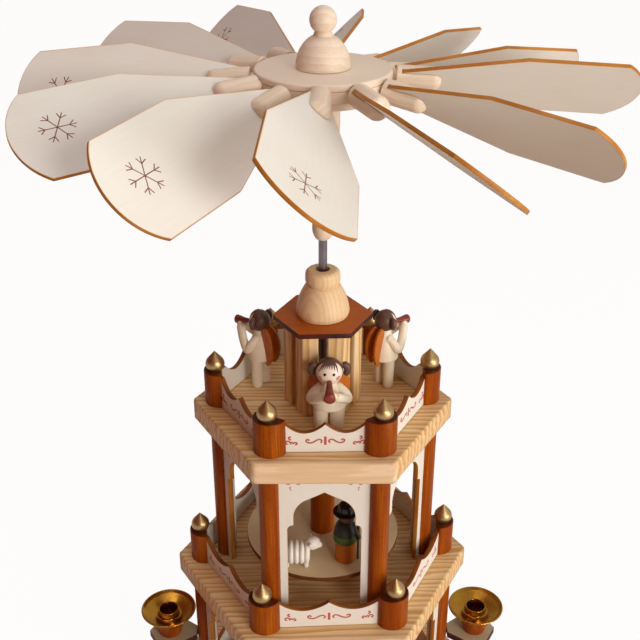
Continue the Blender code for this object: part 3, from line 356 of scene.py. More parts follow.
def make_plywood(kind, face, face_grain, scorch, char):
    """Laser-cut birch plywood with a face, a scorched border and charred edges."""
    material, tree, shader, place = grained_material("birch plywood, " + kind)
    streak = fibres(tree, place, 20, 0.6)
    cloud = fibres(tree, place, 30, 14, 2.0)
    colour = mix_colours(tree, spread(tree, streak, 0.4, 0.8, 0.0, 0.4), face, face_grain)
    colour = mix_colours(tree, spread(tree, cloud, 0.4, 0.75, 0.0, 0.3), colour, face_grain)
    ragged = calculate(tree, "MULTIPLY_ADD", cloud, 0.3, burnt(tree)).outputs[0]
    colour = mix_colours(tree, spread(tree, ragged, 0.2, 0.95), colour, scorch)
    colour = mix_colours(tree, spread(tree, ragged, 1.0, 1.18), colour, char)
    finish_off(tree, shader, colour, streak, (0.42, 0.56), 0.008, 0.25)
    return material


blade_plywood = make_plywood("whitewashed, lightly scorched", "E8E5DC", "E0DBCF", "D8A050", "B06E24")
cream_plywood = make_plywood("whitewashed, laser cut", "E8E4DA", "DFD9CB", "C07C28", "743810")
# The pads' plywood is the cream plywood darkened to its look in grazing light: painted shade.
pad_plywood_with_painted_shade = make_plywood("varnished, laser cut", "C4B596", "AD9C7C", "6E4A30", "3A1A1C")
# The turntables' plywood is the cream plywood toned to its colour in shade: painted shade.
turntable_plywood_with_painted_shade = make_plywood("oiled, laser cut", "DCC8A0", "C9AE80", "A87438", "643014")
orange_plywood = make_plywood("orange stain, laser cut", "B85E12", "A04C0A", "7A2E0E", "2A0C10")

# %% Paint, gilding and engraving


def make_paint(name, code, worn_code, roughness=0.42):
    """Brushed acrylic on turned wood: faint brush marks, and a little wear where the coat is thin."""
    material, tree, shader, place = grained_material(name)
    stroke = fibres(tree, place, 6, 0.5)
    patch = fibres(tree, place, 3, 3, 2.0)
    colour = mix_colours(tree, spread(tree, patch, 0.45, 0.8, 0.0, 0.5), code, worn_code)
    finish_off(tree, shader, colour, stroke, (roughness - 0.06, roughness + 0.1), 0.03)
    return material


engraving = make_paint("laser engraving, burnt brown", "7E463E", "9A6A5C", 0.6)
red_print = make_paint("red printing ink", "B4564E", "C0706A", 0.5)
white_paint = make_paint("white acrylic paint", "F0EAE0", "E2D8C8")
skin_paint = make_paint("skin-coloured acrylic paint", "F2E2D2", "EACFB8")
cheek_paint = make_paint("pink acrylic paint", "D98A86", "E0A09A")
cream_paint = make_paint("cream acrylic paint", "F2E6CE", "E6D4B4")
hair_paint = make_paint("dark brown acrylic paint", "604236", "4A2E22")
black_paint = make_paint("black acrylic paint", "171214", "2A2024", 0.25)
coat_paint = make_paint("dark green acrylic paint", "26281C", "343A24")
green_paint = make_paint("green acrylic paint", "44601E", "527028")
amber_paint = make_paint("orange-brown wood stain", "BC6408", "A04E08")
trumpet_paint = make_paint("red-brown lacquer", "7E3020", "9A4630", 0.3)


def make_gold_paint():
    """Gold bronze paint: metal flake in lacquer, satin, with a fine grain of flakes."""
    material, tree, shader, place = grained_material("gold bronze paint")
    flake = fibres(tree, place, 0.5, 0.5, 1.0)
    colour = mix_colours(tree, spread(tree, flake, 0.35, 0.7), "CBB082", "AE8B5A")
    finish_off(tree, shader, colour, flake, (0.36, 0.48), 0.02)
    shader.inputs["Metallic"].default_value = 1.0
    return material


gold_paint = make_gold_paint()

# %% Brass and steel


def make_metal(name, code, tarnish_code, roughness, mark_length, mark_width):
    """Bare metal with drawn or spun tool marks, a little tarnish and no paint."""
    material, tree, shader, place = grained_material(name)
    marks = fibres(tree, place, mark_length, mark_width)
    cloud = fibres(tree, place, 9, 9, 2.0)
    colour = mix_colours(tree, spread(tree, cloud, 0.4, 0.75, 0.0, 0.6), code, tarnish_code)
    finish_off(tree, shader, colour, marks, (roughness - 0.04, roughness + 0.08), 0.01, strength=0.3)
    shader.inputs["Metallic"].default_value = 1.0
    return material


brass = make_metal("brass, pressed and polished", "B98632", "946420", 0.2, 5, 0.3)
steel = make_metal("steel rod, drawn", "8A8289", "6E656C", 0.28, 30, 0.2)
print("materials:", len(bpy.data.materials))

# %% [markdown]
# ## Working helpers
#
# A turned piece is a profile, drawn point by point and spun round the Z axis. A sawn piece is
# an outline, filled and given its thickness. Both are modelled lying at the origin, take
# their grain there, and are then set in place. Repeated pieces are copies of the finished one.

# %% Selecting


def select_nothing():
    """Object mode, with nothing selected."""
    if bpy.context.mode != "OBJECT":
        bpy.ops.object.mode_set(mode="OBJECT")
    bpy.ops.object.select_all(action="DESELECT")


def pick(thing):
    """Makes one object the only selected one."""
    select_nothing()
    thing.select_set(True)
    bpy.context.view_layer.objects.active = thing


def select_faces(thing, wanted):
    """Selects, in edit mode, the faces for which wanted(face) holds."""
    bpy.ops.mesh.select_mode(type="FACE")
    bpy.ops.object.mode_set(mode="OBJECT")
    for face in thing.data.polygons:
        face.select = wanted(face)
    bpy.ops.object.mode_set(mode="EDIT")


def select_edges(thing, wanted):
    """Selects, in edit mode, the edges for which wanted(start, end) holds."""
    bpy.ops.mesh.select_mode(type="EDGE")
    bpy.ops.object.mode_set(mode="OBJECT")
    points = [vertex.co for vertex in thing.data.vertices]
    for edge in thing.data.edges:
        edge.select = wanted(*(points[at] for at in edge.vertices))
    bpy.ops.object.mode_set(mode="EDIT")


def face_outwards():
    """From edit mode: turns all normals outwards and goes back to object mode."""
    bpy.ops.mesh.select_all(action="SELECT")
    bpy.ops.mesh.normals_make_consistent(inside=False)
    bpy.ops.object.mode_set(mode="OBJECT")


# %% Drawing lines


def draw_line(name, points, closed):
    """A chain of edges through the points, drawn by extruding one vertex along them."""
    select_nothing()
    bpy.ops.mesh.primitive_plane_add(size=MM)
    line = bpy.context.object
    line.name = name
    line.data.name = name
    bpy.ops.object.mode_set(mode="EDIT")
    bpy.ops.mesh.select_mode(type="VERT")
    bpy.ops.mesh.select_all(action="SELECT")
    bpy.ops.mesh.merge(type="CENTER")
    spots = [Vector(point) * MM for point in points]
    bpy.ops.transform.translate(value=spots[0])
    for here, there in zip(spots, spots[1:]):
        bpy.ops.mesh.extrude_region_move(TRANSFORM_OT_translate={"value": there - here})
    bpy.ops.mesh.select_all(action="SELECT")
    if closed:
        bpy.ops.mesh.edge_face_add()
    return line


def polar(x, y, radius, angle):
    """The point at that distance from (x, y), in the direction of an angle in degrees."""
    turn = math.radians(angle)
    return (x + radius * math.cos(turn), y + radius * math.sin(turn))


def arc(x, y, radius, start, end, steps):
    """Points of an arc from one angle in degrees to another."""
    return [polar(x, y, radius, start + (end - start) * at / steps) for at in range(steps + 1)]


def smooth_line(points, steps=4):
    """More points on a smooth curve through the given ones."""
    ends = [points[0], *points, points[-1]]
    curve = []
    for before, here, there, after in zip(ends, ends[1:], ends[2:], ends[3:]):
        for t in (at / steps for at in range(steps)):
            curve.append(
                tuple(
                    0.5 * (2 * b + (c - a) * t + (2 * a - 5 * b + 4 * c - d) * t**2
                           + (3 * b - a - 3 * c + d) * t**3)
                    for a, b, c, d in zip(before, here, there, after)
                )
            )
    return curve + [points[-1]]


def with_mirror_image(half):
    """A half outline with Y above 0, and its mirror image below it."""
    return half + [(x, -y) for x, y in reversed(half[1:])]


# %% Turning and sawing


def keep_grain(thing, along="X", shift=0.0, aside=0.0):
    """Stores the grain coordinates in metres, with X along the named axis of the piece as it lies."""
    order = {"X": (0, 1, 2), "Y": (1, 2, 0), "Z": (2, 0, 1)}[along]
    mesh = thing.data
    grain = mesh.attributes.get("grain") or mesh.attributes.new("grain", "FLOAT_VECTOR", "POINT")
    for vertex, stored in zip(mesh.vertices, grain.data):
        values = [vertex.co[at] for at in order]
        stored.vector = (values[0] + shift, values[1] + aside, values[2])


def smooth_shade(thing, angle=35):
    pick(thing)
    bpy.ops.object.shade_smooth_by_angle(angle=math.radians(angle))


def turned(name, profile, steps=64, along="Z"):
    """A turned piece from (radius, height) points that run down its outer side.

    The profile of a solid piece starts and ends on the axis, and that of a bored one closes.
    """
    points = [(radius, 0, height) for radius, height in profile]
    if profile[0][0] > 0:
        points.append(points[0])
    thing = draw_line(name, points, closed=False)
    bpy.ops.mesh.spin(steps=steps, angle=math.tau, center=(0, 0, 0), axis=(0, 0, 1))
    bpy.ops.mesh.select_all(action="SELECT")
    bpy.ops.mesh.remove_doubles(threshold=0.002 * MM)
    face_outwards()
    smooth_shade(thing)
    keep_grain(thing, along)
    return thing


def raised(name, outline, *rises, bottom=0.0):
    """An outline, filled and raised by each rise in turn. It stays in edit mode, its top selected."""
    thing = draw_line(name, [(x, y, bottom) for x, y in outline], closed=True)
    for rise in rises:
        bpy.ops.mesh.extrude_region_move(TRANSFORM_OT_translate={"value": (0, 0, rise * MM)})
    return thing


def rounded_off(thing, width, segments):
    """Rounds the sharp edges. A bevel modifier does it, and is then made final."""
    bevel = thing.modifiers.new("eased edges", "BEVEL")
    bevel.width = width * MM
    bevel.segments = segments
    bevel.limit_method = "ANGLE"
    bevel.angle_limit = math.radians(50)
    bpy.ops.object.modifier_apply(modifier=bevel.name)


def store_scorch(thing):
    """1 on the cut edge, less on the first inset ring of the face, 0 further in."""
    mesh = thing.data
    scorch = mesh.attributes.new("scorch", "FLOAT", "POINT")
    edge_points = {at for face in mesh.polygons if abs(face.normal.z) < 0.5 for at in face.vertices}
    near = {at for edge in mesh.edges if edge_points & set(edge.vertices) for at in edge.vertices}
    for at, value in enumerate(scorch.data):
        value.value = 1.0 if at in edge_points else 0.12 if at in near else 0.0


def sawn(name, outline, thickness, along="X", scorch_width=0.7, round_edges=0.15):
    """A laser-cut piece from (x, y) points, centred on its thickness, with its burnt edges."""
    thing = raised(name, outline, thickness, bottom=-thickness / 2)
    bpy.ops.mesh.select_all(action="SELECT")
    bpy.ops.mesh.normals_make_consistent(inside=False)
    for width in (0.5 * scorch_width, scorch_width):
        select_faces(thing, lambda face: len(face.vertices) > 4 and abs(face.normal.z) > 0.9)
        bpy.ops.mesh.inset(thickness=width * MM, use_even_offset=True)
    bpy.ops.object.mode_set(mode="OBJECT")
    store_scorch(thing)
    rounded_off(thing, round_edges, 2)
    smooth_shade(thing)
    keep_grain(thing, along)
    return thing


# %% Cutting, placing and handing over


def cut_away(thing, cutter):
    """Takes the cutter's shape out of the piece, and removes the cutter."""
    pick(thing)
    boolean = thing.modifiers.new("cut", "BOOLEAN")
    boolean.operation = "DIFFERENCE"
    boolean.object = cutter
    bpy.ops.object.modifier_apply(modifier=boolean.name)
    bpy.data.objects.remove(cutter)


def place(thing, matrix):
    """Puts the place into the mesh, so that the object itself stays at the origin."""
    thing.data.transform(matrix)
    if matrix.determinant() < 0:
        thing.data.flip_normals()
    thing.data.update()
    return thing


def turned_by(angle, axis="Z"):
    return Matrix.Rotation(math.radians(angle), 4, axis)


def moved(x=0.0, y=0.0, z=0.0):
    return Matrix.Translation((x * MM, y * MM, z * MM))


LAID_ALONG_X = turned_by(90, "Y")
STOOD_UP = turned_by(90) @ turned_by(90, "X")


def bore(thing, radius, depth, vertices, spot=None):
    """Drills a hole along the Z axis through the origin, or along that of a given place."""
    select_nothing()
    bpy.ops.mesh.primitive_cylinder_add(radius=radius * MM, depth=depth * MM, vertices=vertices)
    drill = bpy.context.object
    cut_away(thing, place(drill, spot) if spot else drill)


def copy_of(thing, name, shift=0.0):
    """A copy with its own mesh, its grain shifted so that no two pieces look alike."""
    twin = thing.copy()
    twin.data = thing.data.copy()
    twin.name = name
    twin.data.name = name
    bpy.context.scene.collection.objects.link(twin)
    if shift:
        for stored in twin.data.attributes["grain"].data:
            stored.vector = stored.vector + Vector((shift, 0.37 * shift, 0.71 * shift))
    return twin


def hand_over(thing, material, body, slot, *nodes):
    """Gives the piece its finish and its body, and hides the nodes it stands for. The slot is not used."""
    thing.data.materials.clear()
    thing.data.materials.append(material)
    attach(thing, body)
    if nodes:
        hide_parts(*nodes)
    return thing


def set_out(places, *rows, body="root", first=0):
    """Sets copies of finished models out at labelled places.

    A row holds a model, the pieces' name, the step in grain from one to the next, the finish,
    the slot and the node. The label goes where a name or node has braces.
    """
    for at, (label, spot) in enumerate(places.items(), first):
        for model, name, shift, finish, slot, node in rows:
            piece = place(copy_of(model, name.format(label), shift * at), spot)
            hand_over(piece, finish, body.format(label), slot, node.format(label))


def discard(*models):
    for model in models:
        bpy.data.objects.remove(model)


# %% [markdown]
# ## The wheel
#
# Twelve pegs plug into the rim of a turned disc, and each holds a thin blade in its slot. A
# peg can be twisted by hand to set its blade, so every blade stands a little differently.
# The joints of the frame give each peg's axis, and the frame's own blade says how it is tilted.

# %% Where each peg points


def blade_frames():
    """For each blade number, a matrix with X along the peg and Z out of the blade's upper face."""
    frames = {}
    for joint in frame["joints"]:
        if not joint["name"].startswith("blade_pitch_"):
            continue
        number = joint["name"][-2:]
        along = Vector(joint["axis"]).normalized()
        faces = frame["nodes"]["blade_" + number].data.polygons
        upper = max(
            (face for face in faces if face.normal.z > 0 and abs(face.normal.dot(along)) < 0.02),
            key=lambda face: face.area,
        )
        up = (upper.normal - along * upper.normal.dot(along)).normalized()
        turn = Matrix((along, up.cross(along), up)).transposed().to_4x4()
        frames[number] = Matrix.Translation(joint["pos_m"]) @ turn
    return frames


blade_places = blade_frames()
print("blades:", len(blade_places))

# %% Blades
BLADE_THICKNESS = 2
BLADE_ROOT = (41.5, 6.2)  # distance from the shaft, and half the blade's width there
BLADE_SHOULDER = (103, 27)
BLADE_CORNER = 153.5
BLADE_TIP = 166


def blade_outline():
    """Narrow root, straight flanks, crisp shoulders and a shallow round tip."""
    width = BLADE_SHOULDER[1]
    reach = BLADE_TIP - BLADE_CORNER
    radius = (width**2 + reach**2) / (2 * reach)
    spread_angle = math.degrees(math.asin(width / radius))
    tip = arc(BLADE_TIP - radius, 0, radius, 0, spread_angle, 12)
    return with_mirror_image(tip + [BLADE_SHOULDER, BLADE_ROOT])


blade = sawn("blade", blade_outline(), BLADE_THICKNESS, scorch_width=0.9)
row = (blade, "wheel_blade_{}", 0.21, blade_plywood, "cream_plywood", "blade_{}")
set_out(blade_places, row, body="paddle_{}", first=1)
discard(blade)

# %% Pegs
PEG_RADIUS = 6.3
PEG_START = min(
    (Vector(v.co) - m.translation).dot(m.to_3x3().col[0]) / MM
    for number, m in blade_places.items()
    for v in frame["nodes"]["peg_" + number].data.vertices
)
PEG_SHOULDER = 38.4
PEG_END = 62
PEG_TENON_RADIUS = 3
SLOT_WIDTH = 2.6
SAW_RUN = 10  # the saw block reaches this far beyond the peg's end


def make_peg():
    """A dowel with a tenon, a domed end and a saw cut for the blade."""
    length = PEG_END - PEG_SHOULDER
    tenon_end = PEG_START - PEG_SHOULDER
    nose = 4.5
    profile = [(0, length), *arc(PEG_RADIUS - nose, length - nose, nose, 78, 0, 8)]
    profile += [(PEG_RADIUS, 0.5), (PEG_RADIUS - 0.5, 0), (PEG_TENON_RADIUS, 0)]
    profile += [(PEG_TENON_RADIUS, tenon_end), (0, tenon_end)]
    peg = turned("peg", profile, 40)
    select_nothing()
    depth = PEG_END - BLADE_ROOT[0] + 0.3
    middle = length - depth / 2 + SAW_RUN / 2
    bpy.ops.mesh.primitive_cube_add(size=1, location=(0, 0, middle * MM))
    cutter = bpy.context.object
    cutter.scale = Vector((SLOT_WIDTH, 4 * PEG_RADIUS, depth + SAW_RUN)) * MM
    bpy.ops.object.transform_apply(location=True, rotation=True, scale=True)
    cut_away(peg, cutter)
    smooth_shade(peg)
    keep_grain(peg, "Z")
    return place(peg, moved(x=PEG_SHOULDER) @ LAID_ALONG_X)


peg = make_peg()
set_out(blade_places, (peg, "wheel_peg_{}", 0.13, lime, "maple", "peg_{}"), body="paddle_{}", first=1)
discard(peg)

# %% [markdown]
# Each blade carries a snowflake, branded into its upper face near the tip: six arms that fork
# into three. Lines like these are drawn as strokes, given a little thickness and flattened.

# %% Drawing with strokes


def thickened(width, resolution, taper=()):
    """Gives the active line a round section. The taper is its relative thickness at each point."""
    bpy.ops.object.convert(target="CURVE")
    rod = bpy.context.object
    rod.data.bevel_depth = width / 2 * MM
    rod.data.bevel_resolution = resolution
    rod.data.use_fill_caps = True
    for point, share in zip(rod.data.splines[0].points, taper):
        point.radius = share
    bpy.ops.object.convert(target="MESH")
    rod = bpy.context.object
    pick(rod)
    bpy.ops.object.mode_set(mode="EDIT")
    face_outwards()
    return rod


def drawn(name, strokes, width, depth):
    """Flat lines on the XY plane from lists of (x, y) points, one list to a stroke."""
    lines = [draw_line(name, [(x, y, 0) for x, y in stroke], closed=False) for stroke in strokes]
    bpy.ops.object.mode_set(mode="OBJECT")
    for line in lines:
        line.select_set(True)
    bpy.ops.object.join()
    ink = thickened(width, 1)
    ink.data.transform(Matrix.Diagonal((1, 1, depth / width, 1)))
    keep_grain(ink)
    return ink


def snowflake_strokes(radius):
    """Six arms, each with a fork of three short branches."""
    strokes = []
    for angle in range(0, 360, 60):
        fork = polar(0, 0, 0.63 * radius, angle)
        strokes.append([(0, 0), fork, polar(0, 0, radius, angle)])
        strokes += [[fork, polar(*fork, 0.36 * radius, angle + lean)] for lean in (-44, 44)]
    return strokes


# %% Snowflakes
SNOWFLAKE_RADIUS = 9.5
SNOWFLAKE_PLACE = (142, -2)
SNOWFLAKE_LINE = 0.55
ENGRAVED_DEPTH = 0.12

snowflake = drawn("snowflake", snowflake_strokes(SNOWFLAKE_RADIUS), SNOWFLAKE_LINE, ENGRAVED_DEPTH)
place(snowflake, moved(*SNOWFLAKE_PLACE, BLADE_THICKNESS / 2))
row = (snowflake, "wheel_snowflake_{}", 0, engraving, "cream_plywood", "blade_{}")
set_out(blade_places, row, body="paddle_{}")
discard(snowflake)

# %% [markdown]
# The hub disc is turned from one block: a flat top, a fine groove under its rim and a stepped
# foot. Twelve holes are drilled in its edge for the pegs, each at its own slight droop. The
# sleeve below it is glued to the shaft, and the knob on top hides the end of the shaft.

# %% Hub disc
HUB_RADIUS = 36.75
HUB_THICKNESS = 15
HUB_GROOVE = -3.2  # heights below the disc's top
HUB_BAND = -10
BORE_RADIUS = 2.8
TENON_PLAY = 0.5


def make_hub_disc():
    """The disc with its groove, band and stepped foot, drilled for the pegs."""
    rim = HUB_RADIUS
    profile = [(BORE_RADIUS, 0), (rim - 1.2, 0), *arc(rim - 1.2, -1.2, 1.2, 75, 0, 5)]
    profile += [(rim, HUB_GROOVE), (rim - 0.8, HUB_GROOVE - 0.4), (rim, HUB_GROOVE - 0.8)]
    profile += [(rim, HUB_BAND + 0.6), (rim - 0.6, HUB_BAND), (rim - 2, HUB_BAND - 0.4)]
    profile += [
        (radius, HUB_BAND - drop)
        for radius, drop in ((32.6, 1.2), (32, 2.2), (31.8, 3), (31.2, 3.4), (31.2, 4.6))
    ]
    profile += [(30.8, -HUB_THICKNESS), (BORE_RADIUS, -HUB_THICKNESS)]
    disc = place(turned("wheel_hub_disc", profile, 96, "X"), moved(z=hub_top))
    depth = HUB_RADIUS - PEG_START + 4
    for matrix in blade_places.values():
        spot = matrix @ moved(x=PEG_START - 0.3 + depth / 2) @ LAID_ALONG_X
        bore(disc, PEG_TENON_RADIUS + TENON_PLAY, depth, 24, spot)
    smooth_shade(disc)
    return disc


hand_over(make_hub_disc(), lime, "rotor", "maple", "hub_disc")

# %% Sleeve, knob and shaft
SLEEVE_TOP_RADIUS = 9.5
SLEEVE_END_RADIUS = 5.9
sleeve_low, sleeve_high = levels("hub_sleeve")
length = sleeve_high - sleeve_low
collar = SLEEVE_TOP_RADIUS + 1.2
shape = [(collar, length - 2), (SLEEVE_TOP_RADIUS, length - 3.5), (SLEEVE_TOP_RADIUS - 1, 0.45 * length)]
shape += [
    (SLEEVE_END_RADIUS + wider, height)
    for wider, height in ((0.8, 14), (0, 11), (0.2, 6), (-0.6, 2.4), (-2, 0))
]
profile = [(BORE_RADIUS, length), (collar, length), *smooth_line(shape), (BORE_RADIUS, 0)]
sleeve = place(turned("wheel_sleeve", profile, 64), moved(z=sleeve_low))
hand_over(sleeve, lime, "rotor", "maple", "hub_sleeve")

KNOB_DOME_RADIUS = 14.6
KNOB_DOME_HEIGHT = 18
KNOB_BALL_RADIUS = 7.2
KNOB_BORE_DEPTH = 8
ball_centre = KNOB_DOME_HEIGHT + KNOB_BALL_RADIUS - 1
profile = [(0, ball_centre + KNOB_BALL_RADIUS), *arc(0, ball_centre, KNOB_BALL_RADIUS, 84, -52, 18)]
profile += [
    (KNOB_DOME_RADIUS * math.sin(turn), 0.97 * KNOB_DOME_HEIGHT * math.cos(turn))
    for turn in (math.radians(at) for at in range(21, 91, 4))
]
profile += [(KNOB_DOME_RADIUS, 0), (BORE_RADIUS, 0), (BORE_RADIUS, KNOB_BORE_DEPTH), (0, KNOB_BORE_DEPTH)]
knob = place(turned("wheel_knob", profile, 64, "X"), moved(z=levels("top_knob")[0]))
hand_over(knob, lime, "rotor", "maple", "top_knob")

SHAFT_RADIUS = 2.5
shaft_low, shaft_high = levels("shaft")
profile = [(0, shaft_high), (SHAFT_RADIUS - 0.4, shaft_high), (SHAFT_RADIUS, shaft_high - 0.4)]
profile += [(SHAFT_RADIUS, shaft_low + 6), (0, shaft_low)]
hand_over(turned("wheel_shaft", profile, 40), steel, "rotor", "steel", "shaft")

# %% [markdown]
# ## The boards
#
# Three hexagons of pine, planed, with their upper edges softly rounded and their corners
# barely clipped. The grain runs from left to right on all three, so the front edge shows long
# flames and the slanted edges show the ends of the growth rings.

# %% Boards and feet
APOTHEM = math.cos(math.radians(30))  # of a hexagon whose corners lie at 1
BOARD_THICKNESS = 14
CORNER_CUT = 1.0
RIM_ROUNDING = 1.5
LOWER_ROUNDING = 0.6
BASE_TURN = 0.55  # degrees: the base and what stands on it sit slightly turned
MIDDLE_TURN = 1.6
MIDDLE_RAIL_TURN = 3.0
TOP_RAIL_TURN = 1.2
FOOT_HEIGHT = 9
FOOT_RADIUS = 9
FOOT_CIRCLE = 100


def corner_places(circle, height=0.0, turn=0.0, aside=0.0):
    """The six corners of a storey, numbered from 1."""
    centre = moved(aside, 0, height)
    return {at + 1: centre @ turned_by(60 * at + turn) @ moved(x=circle) for at in range(6)}


def side_places(distance, height, turn, aside=0.0):
    """The middle of each side, with a flat piece's X along the side and its Y upwards."""
    return {at: spot @ STOOD_UP for at, spot in corner_places(distance, height, turn + 30, aside).items()}


def hexagon(radius, corner_cut):
    """A hexagon with corners at 0, 60, ... degrees, each clipped square to its radius."""
    along = corner_cut / math.tan(math.radians(60))
    corners = [
        turned_by(60 * at) @ Vector((radius - along, side * corner_cut, 0))
        for at in range(6)
        for side in (-1, 1)
    ]
    return [(corner.x, corner.y) for corner in corners]


def make_board(name, radius, hole_radius, shift):
    board = raised(name, hexagon(radius, CORNER_CUT), BOARD_THICKNESS)
    bpy.ops.mesh.select_all(action="SELECT")
    bpy.ops.mesh.normals_make_consistent(inside=False)
    select_edges(board, lambda a, b: min(a.z, b.z) > 0.5 * BOARD_THICKNESS * MM)
    bpy.ops.mesh.bevel(offset=RIM_ROUNDING * MM, segments=6, affect="EDGES")
    select_edges(board, lambda a, b: max(a.z, b.z) < 0.01 * MM)
    bpy.ops.mesh.bevel(offset=LOWER_ROUNDING * MM, segments=2, affect="EDGES")
    bore(board, hole_radius, 3 * BOARD_THICKNESS, 48)
    smooth_shade(board, 20)
    keep_grain(board, "X", shift, radius * APOTHEM * MM)
    return board


for name, radius, hole_radius, turn, shift in (
    ("base_board", 124, 5.3, BASE_TURN, 0.3),
    ("middle_board", 96, 6, MIDDLE_TURN, 0.9),
    ("top_board", 80, 6, 0.0, 0.0),
):
    board = make_board("pine_" + name, radius, hole_radius, shift)
    place(board, moved(z=levels(name)[1] - BOARD_THICKNESS) @ turned_by(turn))
    hand_over(board, pine, "root", "pine", name)

profile = [(0, FOOT_HEIGHT), (7, FOOT_HEIGHT)]
profile += smooth_line([(7.2, FOOT_HEIGHT), (FOOT_RADIUS, 5.6), (FOOT_RADIUS, 3.2), (6.6, 0)])
foot = turned("foot", profile + [(0, 0)], 48)
row = (foot, "foot_{}", 0.1, stained_beech, "stained_beech", "base_board")
set_out(corner_places(FOOT_CIRCLE, turn=BASE_TURN), row)
discard(foot)

# %% [markdown]
# ## The arcades
#
# Six stained columns stand between each pair of boards. Between them are cream panels, sawn
# into pointed arches with a step at the springing. Red scrolls are printed in their upper
# corners.

# %% Columns and arched panels
LOWER_COLUMN_CIRCLE = 81.2
UPPER_COLUMN_CIRCLE = 64.7
COLUMN_RADIUS = 6
COLUMN_EASE = 0.5
PLAY = 0.3
ARCH_THICKNESS = 3
PANEL_LET_IN = 2
ARCH_LEG = 4.4
ARCH_STEP = 3.7
PRINT_DEPTH = 0.1


def arch_outline(width, height):
    """A pointed arch on two legs, with a rounded step where its curve starts."""
    half = width / 2
    inner = half - PANEL_LET_IN - ARCH_LEG
    side = inner - ARCH_STEP
    step = height - 38
    notch = arc(side + 0.4, step - ARCH_STEP + 0.4, ARCH_STEP - 0.4, 8, 82, 5)
    curve = arc(side - 14, height - 32, 14, 0, 58, 9)
    crown = smooth_line([curve[-1], (0.32 * side, height - 17.2), (0, height - 14)], 3)
    right = [(half, height), (half, 0), (inner, 0), (inner, step - ARCH_STEP)]
    right += [*notch, (side, step), *curve, *crown[1:-1]]
    return right + [crown[-1]] + [(-x, y) for x, y in reversed(right)]


def spiral(x, y, radius, start, turns, side, steps=12):
    """A scroll that winds in from its outer end to its eye."""
    shares = [at / steps for at in range(steps + 1)]
    return [polar(x, y, radius * (1 - 0.72 * share), start + 360 * side * share * turns) for share in shares]


def mirror(strokes):
    return strokes + [[(-x, y) for x, y in stroke] for stroke in strokes]


def arch_ornament(width, height):
    """Two little scrolls and a drop in each upper corner of an arch."""
    x = width / 2 - PANEL_LET_IN - 8.3
    y = height - 7.2
    drop = [(x + right, y + up) for right, up in ((1.3, -2.6), (2.3, -3.4), (1.4, -4.4), (1.9, -5.2))]
    return mirror([spiral(x + 2.6, y, 1.9, 100, 0.85, -1), spiral(x - 2.6, y, 1.9, 80, 0.85, 1), drop])


for storey, circle, bottom, clear_height, turn, aside in (
    ("lower", LOWER_COLUMN_CIRCLE, base_top, 112, BASE_TURN, 0.0),
    ("upper", UPPER_COLUMN_CIRCLE, middle_top, 105.1, 0.0, 0.8),
):
    node = storey + "_arcade"
    height = clear_height - 2 * PLAY
    end = COLUMN_RADIUS - COLUMN_EASE
    profile = [(0, height), (end, height), (COLUMN_RADIUS, height - COLUMN_EASE)]
    column = turned("column", profile + [(COLUMN_RADIUS, COLUMN_EASE), (end, 0), (0, 0)], 48)
    width = circle - 2 * (COLUMN_RADIUS - PANEL_LET_IN)
    panel = sawn("arch", arch_outline(width, height), ARCH_THICKNESS, along="Y", scorch_width=0.45)
    ornament = drawn("scrolls", arch_ornament(width, height), 0.6, PRINT_DEPTH)
    place(ornament, moved(z=ARCH_THICKNESS / 2))
    set_out(
        corner_places(circle, bottom + PLAY, turn, aside),
        (column, storey + "_column_{}", 0.17, stained_beech, "stained_beech", node),
    )
    set_out(
        side_places(circle * APOTHEM, bottom + PLAY, turn, aside),
        (panel, storey + "_arch_{}", 0.19, blade_plywood, "cream_plywood", node),
        (ornament, storey + "_arch_print_{}", 0, red_print, "cream_plywood", node),
    )
    discard(column, panel, ornament)

# %% [markdown]
# ## The railings
#
# Each board has a low railing: six stained corner posts with a gilded drop on top, and six
# cream panels with a wavy upper edge. The panels carry a red print of a bar between two
# scrolls, with a small three-curl figure near each post.

# %% Posts and finials
POST_HEIGHT = 22
POST_RADIUS = 9.8
POST_INSET = 2.8  # the centre of its round sits this far inside the railing's corner
POST_BACK = 1
POST_CHAMFER = 0.45
FINIAL_RADIUS = 5.8
FINIAL_CENTRE = 4
FINIAL_HEIGHT = 13
GLUE = 0.6


def post_outline():
    """A round stick with a flat side inwards and eased corners."""
    ease = 0.5
    back = -POST_INSET - POST_BACK
    nose = arc(-POST_INSET, 0, POST_RADIUS, 0, 90, 14)
    return with_mirror_image(nose + arc(back + ease, POST_RADIUS - ease, ease, 90, 180, 3))


def make_post():
    """The post, its foot at the origin, with a chamfered top and stain pooled on its end grain."""
    post = raised("post", post_outline(), POST_HEIGHT - POST_CHAMFER, POST_CHAMFER)
    shrink = 1 - POST_CHAMFER / POST_RADIUS
    bpy.ops.transform.resize(value=(shrink, shrink, 1))
    face_outwards()
    scorch = post.data.attributes.new("scorch", "FLOAT", "POINT")
    for vertex, value in zip(post.data.vertices, scorch.data):
        value.value = 1.0 if vertex.co.z > (POST_HEIGHT - 0.1) * MM else 0.0
    smooth_shade(post)
    keep_grain(post, "Z")
    return post


def make_finial():
    """A gilded drop: a ball on a small flat foot, drawn out to a blunt point."""
    touch = math.degrees(math.asin(FINIAL_RADIUS / (FINIAL_HEIGHT - FINIAL_CENTRE)))
    foot = math.degrees(math.asin(FINIAL_CENTRE / FINIAL_RADIUS))
    tip = [(0, FINIAL_HEIGHT - 0.1), (0.35, FINIAL_HEIGHT - 0.45)]
    profile = tip + arc(0, FINIAL_CENTRE, FINIAL_RADIUS, touch, -foot, 18) + [(0, 0)]
    return place(turned("finial", profile, 48), moved(z=POST_HEIGHT - GLUE))


